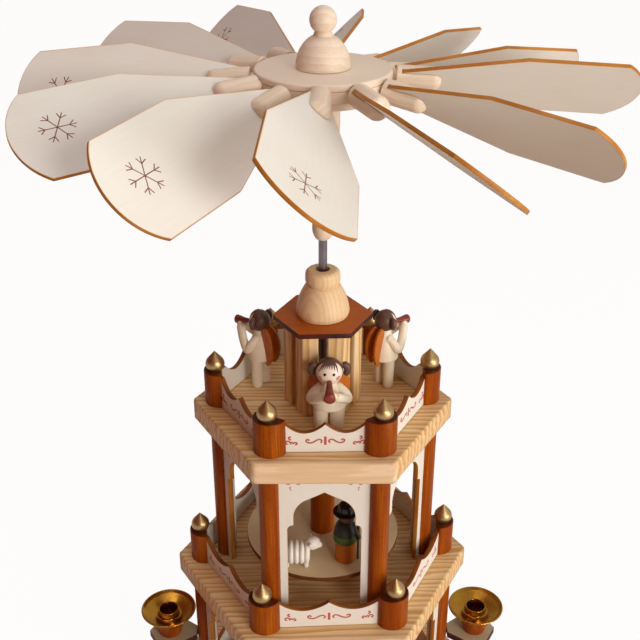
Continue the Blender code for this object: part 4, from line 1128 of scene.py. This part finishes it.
# %% Panels with their prints
RAIL_THICKNESS = 3
RAIL_OUTSET = 1.2
RAIL_END_SETBACK = 4
RAIL_TONGUE = 4.9  # this much of a panel is hidden behind each post
RAIL_WAVE = (  # one long scroll, from the bar outwards
    (2.5, -1.3), (1.9, 0.1), (3.0, 1.1), (4.6, 0.6), (6.2, -0.6),
    (8.0, -1.2), (9.8, -0.7), (10.3, 0.6), (9.3, 1.1), (8.6, 0.3),
)


def rail_outline(length):
    """A panel with two dips and a cusp between them, and a tongue at each end."""
    half = length / 2
    steps = 22
    edge = []
    for at in range(steps + 1):
        share = at / steps
        rise = 6.9 if share > 0.5 else 5.9
        edge.append(((half - RAIL_TONGUE) * share, 12.6 + rise * abs(2 * share - 1) ** 2))
    right = [(half, 0), (half, 19.5), *reversed(edge)]
    return right + [(-x, y) for x, y in reversed(right[:-1])]


def rail_ornament(length):
    """A bar between two long scrolls, and a three-curl figure towards each end."""
    y = 7.4
    reach = 0.29 + length / 75  # longer rails have longer scrolls
    corner = 2.8 + 0.287 * length
    side = [
        smooth_line([(reach * x, y + rise) for x, rise in RAIL_WAVE]),
        spiral(corner - 2.4, y - 1.8, 1.2, 10, 0.85, 1),
        spiral(corner, y - 1.4, 1.0, 200, 0.8, -1),
        spiral(corner + 2.3, y - 1.1, 1.5, 170, 0.85, -1),
        smooth_line([(corner + x, y + up) for x, up in ((0.2, 0.9), (1.4, 1.7), (1.1, 2.9), (0.2, 2.6))]),
    ]
    bar = [[(x, y - 2.6), (x, y + 3.0)] for x in (-0.25, 0.25)]
    return mirror(side) + bar


post = make_post()
finial = make_finial()
for level, circle, bottom, turn in (
    ("lower", 96.4, base_top, BASE_TURN),
    ("middle", 80, middle_top, MIDDLE_RAIL_TURN),
    ("top", 65, top_top, TOP_RAIL_TURN),
):
    node = level + "_railing"
    length = circle - 2 * RAIL_END_SETBACK
    panel = sawn("rail", rail_outline(length), RAIL_THICKNESS, scorch_width=0.4)
    ornament = drawn("rail_print", rail_ornament(length), 1.05, PRINT_DEPTH)
    place(ornament, moved(z=RAIL_THICKNESS / 2))
    set_out(
        side_places(circle * APOTHEM + RAIL_OUTSET - RAIL_THICKNESS / 2, bottom + PLAY, turn),
        (panel, level + "_rail_{}", 0.23, cream_plywood, "cream_plywood", node),
        (ornament, level + "_rail_print_{}", 0, red_print, "cream_plywood", node),
    )
    set_out(
        corner_places(circle, bottom + PLAY, turn),
        (post, level + "_post_{}", 0.11, stained_beech, "stained_beech", node),
        (finial, level + "_finial_{}", 0, gold_paint, "gold_paint", node),
    )
    discard(panel, ornament)
discard(post, finial)

# %% [markdown]
# ## The kiosk
#
# Six angled pine posts carry a hexagonal roof plate, stained orange with charred edges. The
# turned bell on it is the upper bearing: a brass bush inside keeps the shaft upright.

# %% Kiosk posts and roof plate
KIOSK_RADIUS = 23.4
KIOSK_WING = 8.8
KIOSK_WALL = 5
ROOF_RADIUS = 29.7
ROOF_THICKNESS = 3
ROOF_TURN = 2.4
BELL_BORE = 4.25
DRILL_LENGTH = 20
kiosk_top = levels("kiosk")[1]


def make_kiosk_post(height):
    """A corner post with two wings, as if folded round the corner of the kiosk."""
    normal = polar(0, 0, 1, 30)
    tip = (KIOSK_RADIUS - KIOSK_WING * normal[1], KIOSK_WING * normal[0])
    inner = (tip[0] - KIOSK_WALL * normal[0], tip[1] - KIOSK_WALL * normal[1])
    corner = KIOSK_RADIUS - KIOSK_WALL / normal[0]
    outline = [(KIOSK_RADIUS, 0), tip, inner, (corner, 0), (inner[0], -inner[1]), (tip[0], -tip[1])]
    post = raised("kiosk_post", outline, height)
    face_outwards()
    rounded_off(post, 0.5, 3)
    smooth_shade(post)
    keep_grain(post, "Z")
    return post


kiosk_post = make_kiosk_post(kiosk_top - ROOF_THICKNESS - top_top - PLAY)
set_out(corner_places(0, top_top + PLAY), (kiosk_post, "kiosk_post_{}", 0.15, pine, "pine", "kiosk"))
discard(kiosk_post)

roof = sawn("kiosk_roof", hexagon(ROOF_RADIUS, 0.6), ROOF_THICKNESS, scorch_width=0.3)
bore(roof, BELL_BORE, DRILL_LENGTH, 48)
place(roof, moved(z=kiosk_top - ROOF_THICKNESS / 2) @ turned_by(ROOF_TURN))
hand_over(roof, orange_plywood, "root", "orange_stain", "kiosk")

# %% Bell, bush and bearing
BELL_HEIGHT = 28.7
BELL_RING = 10.2
BELL_RADIUS = 15.8
top = BELL_HEIGHT
ring = arc(BELL_RING - 3, top - 3, 3, 75, 0, 8)
neck = smooth_line([(BELL_RING, top - 3.4), (BELL_RING, top - 7), (BELL_RING - 1.2, top - 9.3)], 3)
flare = smooth_line([
    (BELL_RING + 0.2, top - 10.2), (BELL_RING + 0.9, top - 11.4), (BELL_RING + 3.2, top - 16),
    (BELL_RADIUS - 0.6, top - 22), (BELL_RADIUS, top - 26), (BELL_RADIUS - 0.7, 0),
])
profile = [(BELL_BORE, top), (BELL_RING - 3, top), *ring, *neck, *flare, (BELL_BORE, 0)]
bell = turned("roof_bell_turned", profile, 72)
hand_over(place(bell, moved(z=levels("roof_bell")[0])), honey, "root", "maple", "roof_bell")

bush_low, bush_high = levels("guide_bush")
hole = 2.95
outer = BELL_BORE - PLAY
flange = 6.5
profile = [(hole, bush_high), (outer - 0.2, bush_high), (outer, bush_high - 0.2), (outer, bush_low + 1)]
profile += [(flange - 0.2, bush_low + 1), (flange, bush_low + 0.8), (flange, bush_low), (hole, bush_low)]
hand_over(turned("brass_bush", profile, 40), brass, "root", "brass", "guide_bush")

low, lip = levels("bearing_cup")
profile = [(0, low + 1.5), (4, low + 5.5), (4, lip - 0.2), (4.2, lip), (7.7, lip), (8, lip - 0.3)]
profile += [(8, lip - 1), (5, lip - 1), (5, low), (0, low)]
hand_over(turned("brass_bearing", profile, 40), brass, "root", "brass", "bearing_cup")

# %% [markdown]
# ## The candle holders
#
# Six curved arms stand on the base, one at each corner. Each carries a pad, a turned cup and
# a pressed brass pan whose tube takes a small candle. The pan only rests in the cup, so it
# can be lifted out and cleaned.

# %% Arms, pads, cups and pans
CANDLE_CIRCLE = 106.3
PAD_HEIGHT = 55  # of its top above the base board
PAD_THICKNESS = 5
PAD_RADIUS = 14.5
ARM_THICKNESS = 6
ARM_OUTER = 118
ARM_INNER = 104.6
ARM_LEAN = 8
PAN_RADIUS = 18.7
PAN_RIM = 21  # heights above the pad
PAN_LOW = 15.5
PAN_BOTTOM = 6
PAN_WALL = 0.8
TUBE_RADIUS = 7
pad_top = base_top + PAD_HEIGHT


def arm_outline():
    rise = PAD_HEIGHT - PAD_THICKNESS + GLUE - PLAY
    waist = ARM_OUTER - 7
    foot = [(ARM_OUTER, 0), (ARM_OUTER, 3), *arc(ARM_OUTER, 10, 7, 262, 180, 8)]
    outer = [(waist, rise - 20), (waist, rise - 12), (waist + 1.2, rise - 6), (waist + 4, rise)]
    leaning = ((1, 0), (0.6, 4), (0.2, 9), (0, 14))
    inner = [(ARM_INNER - share * ARM_LEAN, rise - drop) for share, drop in leaning]
    return foot + smooth_line(outer) + smooth_line(inner) + [(ARM_INNER, 0)]


def pad_outline():
    """A half hexagon outside, narrowed to a neck that reaches the column behind."""
    side = PAD_RADIUS * APOTHEM
    neck = LOWER_COLUMN_CIRCLE + COLUMN_RADIUS + PLAY - CANDLE_CIRCLE
    return with_mirror_image(
        [(PAD_RADIUS, 0), (PAD_RADIUS / 2, side), (-PAD_RADIUS / 2, side), (neck, 4.2)]
    )


def cup_profile():
    """A turned cup with a flared lip, hollow for the tube of the pan."""
    bore_radius = TUBE_RADIUS + 0.6
    inside = [(0, 5), (bore_radius, 5), (bore_radius, 13.8), (10.6, 15.5)]
    outside = [(11.2, 15.4), (11.1, 14), (10, 10), (8.7, 4), (7.9, 1.2), (7.4, -GLUE)]
    return inside + smooth_line(outside) + [(0, -GLUE)]


def pan_profile():
    """A shallow brass dish with a rolled rim, pressed in one with the tube for the candle."""
    inner = TUBE_RADIUS - PAN_WALL
    inside = [(0, PAN_BOTTOM), (inner, PAN_BOTTOM), (inner, PAN_RIM - 0.7)]
    lip = arc(TUBE_RADIUS - PAN_WALL / 2, PAN_RIM - 0.8, PAN_WALL / 2, 150, 10, 5)
    fillet = arc(TUBE_RADIUS + 1.2, PAN_LOW + 1.6, 1.2, 180, 285, 5)
    dish = smooth_line([fillet[-1], (12.4, PAN_RIM - 3.2), (16.6, PAN_RIM - 1.5)])
    roll = arc(PAN_RADIUS - 0.6, PAN_RIM - 0.6, 0.6, 130, -80, 8)
    under = [(16.6, PAN_RIM - 2.2), (12.4, PAN_RIM - 4.0), (TUBE_RADIUS + 0.6, PAN_LOW - PAN_WALL)]
    under += [(TUBE_RADIUS, PAN_LOW - PAN_WALL), (TUBE_RADIUS, PAN_BOTTOM - PAN_WALL)]
    return inside + lip + fillet + dish[1:] + roll + under + [(0, PAN_BOTTOM - PAN_WALL)]


arm = sawn("arm", arm_outline(), ARM_THICKNESS, along="Y", scorch_width=0.5)
place(arm, moved(z=base_top + PLAY) @ turned_by(90, "X"))
pad = sawn("pad", pad_outline(), PAD_THICKNESS, scorch_width=0.45)
place(pad, moved(CANDLE_CIRCLE, 0, pad_top - PAD_THICKNESS / 2))
cup = place(turned("cup", cup_profile(), 56), moved(CANDLE_CIRCLE, 0, pad_top))
pan = place(turned("pan", pan_profile(), 72), moved(CANDLE_CIRCLE, 0, pad_top))
set_out(
    corner_places(0, turn=BASE_TURN),
    (arm, "candle_arm_{}", 0.12, stained_beech, "stained_beech", "candle_holder_{}"),
    # The pads' grey-tan is painted shade on cream plywood.
    (pad, "candle_pad_{}", 0.12, pad_plywood_with_painted_shade, "cream_plywood", "candle_holder_{}"),
    (cup, "candle_cup_{}", 0.12, stained_beech, "stained_beech", "candle_holder_{}"),
    (pan, "candle_pan_{}", 0.12, brass, "brass", "drip_pan_{}"),
)
discard(arm, pad, cup, pan)

# %% [markdown]
# ## The turntables
#
# Two plywood discs turn with the shaft. A stained sleeve on each is glued to the shaft and
# covers it between the floors.

# %% Turntables and their sleeves
TURNTABLE_HEIGHT = 19.6  # of its top above the board below
TURNTABLE_THICKNESS = 3
CORE_RADIUS = 7.9
CORE_HEIGHT = 68
CORE_EASE = 0.8
for node, radius, level in (
    ("lower_turntable", 58, base_top + TURNTABLE_HEIGHT),
    ("upper_turntable", 49.6, middle_top + TURNTABLE_HEIGHT),
):
    disc = sawn(node + "_disc", arc(0, 0, radius, 0, 356, 89), TURNTABLE_THICKNESS, scorch_width=0.5)
    bore(disc, BORE_RADIUS, DRILL_LENGTH, 40)
    place(disc, moved(z=level - TURNTABLE_THICKNESS / 2))
    # The disc's tan is painted shade on cream plywood.
    hand_over(disc, turntable_plywood_with_painted_shade, "rotor", "cream_plywood", node)
    profile = [(BORE_RADIUS, CORE_HEIGHT), (CORE_RADIUS - CORE_EASE, CORE_HEIGHT)]
    profile += [(CORE_RADIUS, CORE_HEIGHT - CORE_EASE), (CORE_RADIUS, 0), (BORE_RADIUS, 0)]
    core = place(turned(node + "_core", profile, 56), moved(z=level))
    hand_over(core, stained_beech, "rotor", "stained_beech", node)

# %% [markdown]
# ## The figures
#
# Turned and carved figures of lime wood, painted by hand. Each is built upright at the
# origin, facing along X, from turned bodies, balls and bent rods, and is then set in place.

# %% Balls and bent rods
SIDES = (-1, 1)


def ball(name, radius, centre=(0, 0, 0), stretch=(1, 1, 1), steps=32):
    """A ball, perhaps stretched, as a turner would start a head."""
    select_nothing()
    bpy.ops.mesh.primitive_uv_sphere_add(segments=steps, ring_count=steps * 5 // 8, radius=radius * MM)
    made = bpy.context.object
    made.name = name
    made.data.name = name
    place(made, moved(*centre) @ Matrix.Diagonal((*stretch, 1)))
    smooth_shade(made, 60)
    keep_grain(made, "Z")
    return made


def cut_ball(name, radius, centre, cut_place, cut_normal, steps=32):
    """The part of a ball that lies behind a plane, such as hair or a cap."""
    cap = ball(name, radius, centre, steps=steps)
    bpy.ops.object.mode_set(mode="EDIT")
    bpy.ops.mesh.select_all(action="SELECT")
    cut = Vector(cut_place) * MM
    bpy.ops.mesh.bisect(plane_co=cut, plane_no=cut_normal, use_fill=True, clear_outer=True)
    bpy.ops.object.mode_set(mode="OBJECT")
    smooth_shade(cap, 60)
    keep_grain(cap, "Z")
    return cap


def bent_rod(name, points, width, taper=()):
    """A round rod along a path."""
    draw_line(name, points, closed=False)
    bpy.ops.object.mode_set(mode="OBJECT")
    rod = thickened(width, 4, taper)
    smooth_shade(rod, 50)
    keep_grain(rod)
    return rod


def in_one(name, parts):
    """Joins parts of one colour into a single piece."""
    select_nothing()
    for part in parts:
        part.select_set(True)
    bpy.context.view_layer.objects.active = parts[0]
    bpy.ops.object.join()
    made = bpy.context.object
    made.name = name
    made.data.name = name
    return made


def on_head(radius, azimuth, elevation):
    """A point round the angel's head, from angles in degrees; azimuth 0 is straight ahead."""
    across, up = polar(0, HEAD[2], radius, elevation)
    return (*polar(0, 0, across, azimuth), up)


# %% [markdown]
# The angels wear flared cream dresses and blow red-brown trumpets. Their brown hair is combed
# forward into a fringe and gathered at the sides. Two orange wings are let into their backs.

# %% Angel's dress, arms and wings
HEAD_RADIUS = 7.4
HEAD = (0, 0, 40.1)
MOUTH_HEIGHT = 37.6
TRUMPET_LENGTH = 17
TRUMPET_TILT = 10  # degrees below the horizontal


def angel_dress():
    hem = 16.8
    shape = [(3.1, 34.3), (3.6, 32.6), (5.4, 28.6), (7.0, 23.4), (8.1, 18.6), (8.3, 17.3), (7.7, hem)]
    profile = [(0, 34.4), *smooth_line(shape), (5.0, hem + 0.5), (0, hem + 0.5)]
    parts = [turned("dress", profile, 56)]
    for side in SIDES:
        shape = smooth_line([(3.8, 17), (3.5, 9), (3.25, 1), (2.9, 0)])
        leg = turned("leg", [(0, 17.6), (3.8, 17.6), *shape, (0, 0)], 40)
        parts.append(place(leg, moved(y=side * 3.9)))
    return in_one("dress", parts)


def angel_arms():
    """Arms that swing out to the elbow and rise to the trumpet, with a ball for each hand."""
    drop = 0.52 * TRUMPET_LENGTH * math.sin(math.radians(TRUMPET_TILT))
    reach = HEAD_RADIUS + 0.46 * TRUMPET_LENGTH
    height = MOUTH_HEIGHT - 1.4 - drop
    parts = []
    for side in SIDES:
        path = [(0, side * 3.6, 29.6), (1.6, side * 7.0, 26.2), (4.0, side * 8.2, 23.6)]
        path += [(8.6, side * 6.0, 27.8), (reach - 1.6, side * 1.9, height - 1.8)]
        parts.append(bent_rod("arm", smooth_line(path, 5), 5.4))
        parts.append(ball("hand", 2.3, (reach - 1.0, side * 1.3, height - 0.9), steps=24))
        parts.append(ball("shoulder", 2.9, (0, side * 3.7, 29.2), steps=24))
    return in_one("arms", parts)


def angel_wings(spread):
    """A pair of wings, each turned from straight back by the spread, in degrees."""
    outline = smooth_line([
        (0, 30.5), (2.2, 36.4), (5.6, 35.6), (8.9, 31.4), (10.3, 25),
        (9.4, 18.8), (6.4, 14.7), (3.0, 17), (0, 20),
    ])
    wings = []
    for side in SIDES:
        wing = sawn("wing", outline, 1.5, along="Y", scorch_width=0.3, round_edges=0.2)
        root = moved(-2.4, side * 1.6) @ turned_by(180 - side * spread)
        wings.append(place(wing, root @ turned_by(90, "X")))
    return in_one("wings", wings)


# %% Angel's hair, face and trumpet
STRAND_TAPER = (1.0, 1.0, 0.95, 0.85, 0.65, 0.4, 0.12)


def angel_hair():
    """A cap cut from a slightly larger ball, a slanting fringe and two gathered tails."""
    tilt = math.radians(6)
    normal = Vector((math.cos(tilt), 0, -math.sin(tilt)))
    edge = Vector(HEAD) + 0.16 * HEAD_RADIUS * normal
    parts = [cut_ball("hair", HEAD_RADIUS + 0.35, HEAD, edge, normal, steps=40)]
    for across in range(-46, 46, 13):
        strand = [
            on_head(HEAD_RADIUS + 0.15, across + 9 - 16 * share, 84 - 46 * share - 0.010 * across**2 * share)
            for share in (at / 6 for at in range(7))
        ]
        parts.append(bent_rod("strand", strand, 1.1, STRAND_TAPER))
    for side in SIDES:
        loop = [(-0.8, side * 7.2, 43.6), (-0.9, side * 9.0, 43.4), (-1.2, side * 10.0, 41.2)]
        path = smooth_line([*loop, (-1.3, side * 9.6, 38.6), (-1.2, side * 8.8, 37.2)])
        shares = [0.15 + 0.8 * at / (len(path) - 1) for at in range(len(path))]
        taper = [0.55 + 0.45 * math.sin(math.pi * share) for share in shares]
        parts.append(bent_rod("tail", path, 4.2, taper))
    return in_one("hair", parts)


def angel_marks(radius, azimuth, elevation, flat=0.35):
    """A pair of painted dots on the face, one on each side."""
    parts = []
    for side in SIDES:
        spot = on_head(HEAD_RADIUS - 0.02, side * azimuth, elevation)
        dot = ball("dot", radius, steps=16)
        face = (Vector(spot) - Vector(HEAD)).to_track_quat("Z", "Y").to_matrix().to_4x4()
        place(dot, moved(*spot) @ face @ Matrix.Diagonal((1, 1, flat, 1)))
        keep_grain(dot)
        parts.append(dot)
    return in_one("dots", parts)


def angel_trumpet():
    bell_end = ((1.6, 0.1), (3.0, 0.8), (3.2, 1.8), (2.7, 4.4), (2.0, 8), (1.3, TRUMPET_LENGTH))
    shape = smooth_line([(radius, TRUMPET_LENGTH - back) for radius, back in bell_end])
    trumpet = turned("trumpet", [(0, TRUMPET_LENGTH), *shape, (0, 0)], 40)
    lips = moved(HEAD_RADIUS - 2.4, 0, MOUTH_HEIGHT)
    return place(trumpet, lips @ turned_by(TRUMPET_TILT, "Y") @ LAID_ALONG_X)


# %% [markdown]
# The front angel spreads the wings, and the two at the back keep them folded. The figures are
# made by hand, so each has a slightly different build.

# %% Three angels
angel_body = ((angel_dress(), cream_paint, "angel_paint"), (angel_arms(), cream_paint, "angel_paint"))
open_wings = ((angel_wings(52), amber_paint, "orange_stain"),)
folded_wings = ((angel_wings(14), amber_paint, "orange_stain"),)
angel_head = (
    (ball("head", HEAD_RADIUS, HEAD, steps=40), skin_paint, "angel_paint"),
    (angel_hair(), hair_paint, "hair_paint"),
    (angel_marks(0.85, 20, 13), black_paint, "hair_paint"),
    (angel_marks(1.5, 42, -9, 0.16), cheek_paint, "angel_paint"),
    (angel_trumpet(), trumpet_paint, "stained_beech"),
)
neck = moved(*HEAD)
for node, x, y, facing, wings, girth, tall, lift, head_share in (
    ("angel_front", 3.6, -31, 270, open_wings, 1.24, 0.93, -2.7, 1.05),
    ("angel_left", -38.5, 18.4, 144, folded_wings, 1.0, 1.13, 4.5, 0.87),
    ("angel_right", 38.6, 18, 38, folded_wings, 1.0, 1.13, 4.5, 0.87),
):
    spot = moved(x, y, top_top + PLAY) @ turned_by(facing)
    stretched = Matrix.Diagonal((girth, girth, tall, 1))
    set_on = moved(z=lift) @ neck @ Matrix.Scale(head_share, 4) @ neck.inverted()
    pieces = [(part, stretched) for part in angel_body + wings] + [(part, set_on) for part in angel_head]
    for at, ((model, finish, slot), shape) in enumerate(pieces):
        piece = place(copy_of(model, f"{node}_{model.name}_{at}", 0.05 * at), spot @ shape)
        hand_over(piece, finish, "root", slot, node)
discard(*(model for model, *_ in angel_body + open_wings + folded_wings + angel_head))

# %% [markdown]
# A shepherd with a staff and a ribbed white sheep ride on the upper turntable. Below them, on
# the lower one, goes a carol singer with a song book.

# %% Shepherd
FIGURE_RADIUS = 6.8
stage_top = middle_top + TURNTABLE_HEIGHT + PLAY


def robe(radius, low, high):
    """The lower half of a figure, a plain turned block with a rounded foot."""
    shape = [(0.93 * radius, high - 0.5), (0.95 * radius, 0.4 * high), (0.97 * radius, low + 0.8)]
    profile = [(0, high), (0.93 * radius, high), *smooth_line([*shape, (0.9 * radius, low)]), (0, low)]
    return turned("robe", profile, 48)


def cloak(radius, height, hem):
    """A cape from the shoulders to the hem, a little wider than the robe."""
    neck = 0.70 * height
    shape = [(0.34 * radius, neck), (0.72 * radius, neck - 0.045 * height)]
    shape += [(1.0 * radius, neck - 0.14 * height), (1.07 * radius, 0.46 * height)]
    shape += [(1.1 * radius, hem + 0.8), (1.04 * radius, hem)]
    return turned("cloak", [(0, neck), *smooth_line(shape), (0, hem)], 48)


def hat(head_radius, head_height, height):
    """A felt hat with a rolled brim."""
    brim = head_height + 0.3 * head_radius
    shape = [(0.35 * head_radius, height - 0.06 * head_radius)]
    shape += [(0.74 * head_radius, height - 0.3 * head_radius)]
    rolled = ((0.92, 1.4), (1.2, 1.0), (1.38, 0.7), (1.38, 0.1))
    shape = smooth_line(shape + [(share * head_radius, brim + rise) for share, rise in rolled])
    return turned("hat", [(0, height), *shape, (0.6 * head_radius, brim), (0, brim)], 48)


def head_of(height):
    """The radius of a figure's head, and the height of its centre."""
    radius = 0.115 * height
    return radius, 0.70 * height - GLUE + radius


def put_on_turntable(parts, kind, node, spot):
    for model, finish in parts:
        model.name = model.data.name = f"{kind}_{model.name}"
        hand_over(place(model, spot), finish, "rotor", "coat_paint", node)


SHEPHERD_HEIGHT = 43.4
radius, centre = head_of(SHEPHERD_HEIGHT)
hem = 0.35 * SHEPHERD_HEIGHT
staff = bent_rod("staff", smooth_line([(7.9, -1, height) for height in (0.2, 16, 29.9)]), 1.8)
arm = bent_rod("arm", smooth_line([(4.4, -1.6, 26.8), (7.0, -3.2, 21.0), (7.8, -2.2, 17.6)]), 3.4)
band = ((7.34, 5.4), (7.62, 4.8), (7.66, 0.5), (7.3, -0.2))
profile = [(0, hem + 5.4), *((wide, hem + rise) for wide, rise in band), (0, hem - 0.2)]
green_hem = turned("hem", profile, 48)
# A dark brown ball as large as the head lies over the lower face, on the side towards the front: painted
# shade on the shepherd's face.
face_shade_centre = (0.12 * radius, -0.16 * radius, centre - 0.22 * radius)
shepherd_parts = (
    (robe(FIGURE_RADIUS, 0, hem + 2), amber_paint),
    (cloak(FIGURE_RADIUS, SHEPHERD_HEIGHT, hem), coat_paint),
    (green_hem, green_paint),
    (arm, coat_paint),
    (ball("head", radius, (0, 0, centre)), skin_paint),
    (ball("beard", radius, face_shade_centre), hair_paint),
    (hat(1.16 * radius, centre - 0.06 * radius, SHEPHERD_HEIGHT), black_paint),
    (staff, hair_paint),
)
put_on_turntable(shepherd_parts, "shepherd", "shepherd", moved(14.3, -31, stage_top))

# %% Sheep
SHEEP_LENGTH = 17
SHEEP_RADIUS = 7.6
RIBS = 5
RIB_STEPS = 8


def sheep_body():
    """A body turned with five deep ribs, which stand for the fleece."""
    points = []
    for at in range(RIBS * RIB_STEPS + 1):
        share = at / (RIBS * RIB_STEPS)
        rib = abs(math.sin(math.pi * RIBS * share)) ** 0.6
        end = 1 - 0.16 * abs(2 * share - 1) ** 3
        points.append((SHEEP_RADIUS * end * (0.80 + 0.20 * rib), SHEEP_LENGTH * (1 - share)))
    ends = [(0, SHEEP_LENGTH), (3.4, SHEEP_LENGTH)]
    body = turned("sheep_body", ends + points[1:-1] + [(3.4, 0), (0, 0)], 48)
    return place(body, moved(z=9.8) @ LAID_ALONG_X)


carved = [sheep_body()]
carved.append(ball("head", 4.4, (18.6, 0, 16.8), (1.15, 0.95, 1.0)))
carved.append(ball("muzzle", 2.5, (22.2, 0, 15.4), (1.0, 0.85, 0.8), 24))
for side in SIDES:
    carved.append(ball("ear", 1.5, (17.0, side * 4.2, 18.8), (0.9, 1.5, 0.6), 20))
    for x in (2.4, 14.6):
        leg = turned("leg", [(0, 7), (1.7, 7), (1.5, 0.4), (1.2, 0), (0, 0)], 32)
        carved.append(place(leg, moved(x, side * 2.4)))
sheep = in_one("sheep_carved", carved)
eyes = in_one("sheep_eyes", [ball("eye", 0.45, (21.4, side * 2.75, 18.0), steps=16) for side in SIDES])
spot = moved(-25, -37, stage_top)
hand_over(place(sheep, spot), white_paint, "rotor", "white_paint", "sheep")
hand_over(place(eyes, spot), black_paint, "rotor", "white_paint", "sheep")

# %% Carol singer
SINGER_HEIGHT = 44
radius, centre = head_of(SINGER_HEIGHT)
hem = 0.34 * SINGER_HEIGHT
cap = cut_ball("cap", radius + 0.3, (0, 0, centre), (0, 0, centre + 1), (0.42, 0, -0.9))
arms = [
    bent_rod("arm", smooth_line([(1, side * 5.4, 27), (4.4, side * 6.4, 22), (8.4, side * 2.4, 22.6)]), 3.2)
    for side in SIDES
]
page = [(-3.4, -2.2), (0, -2.5), (3.4, -2.2), (3.4, 2.2), (0, 1.9), (-3.4, 2.2)]
book = sawn("book", page, 0.8)
place(book, moved(9.2, 0, 24.2) @ turned_by(90) @ turned_by(55, "X"))
singer_parts = (
    (robe(FIGURE_RADIUS, 0, hem + 2), hair_paint),
    (cloak(FIGURE_RADIUS, SINGER_HEIGHT, hem), coat_paint),
    (in_one("arms", arms), coat_paint),
    (ball("head", radius, (0, 0, centre)), skin_paint),
    (cap, red_print),
    (book, cream_plywood),
)
spot = turned_by(270) @ moved(38, 0, base_top + TURNTABLE_HEIGHT + PLAY)
put_on_turntable(singer_parts, "singer", "carol_singer", spot)

# %% Size and finish
low, high = cad_bounds
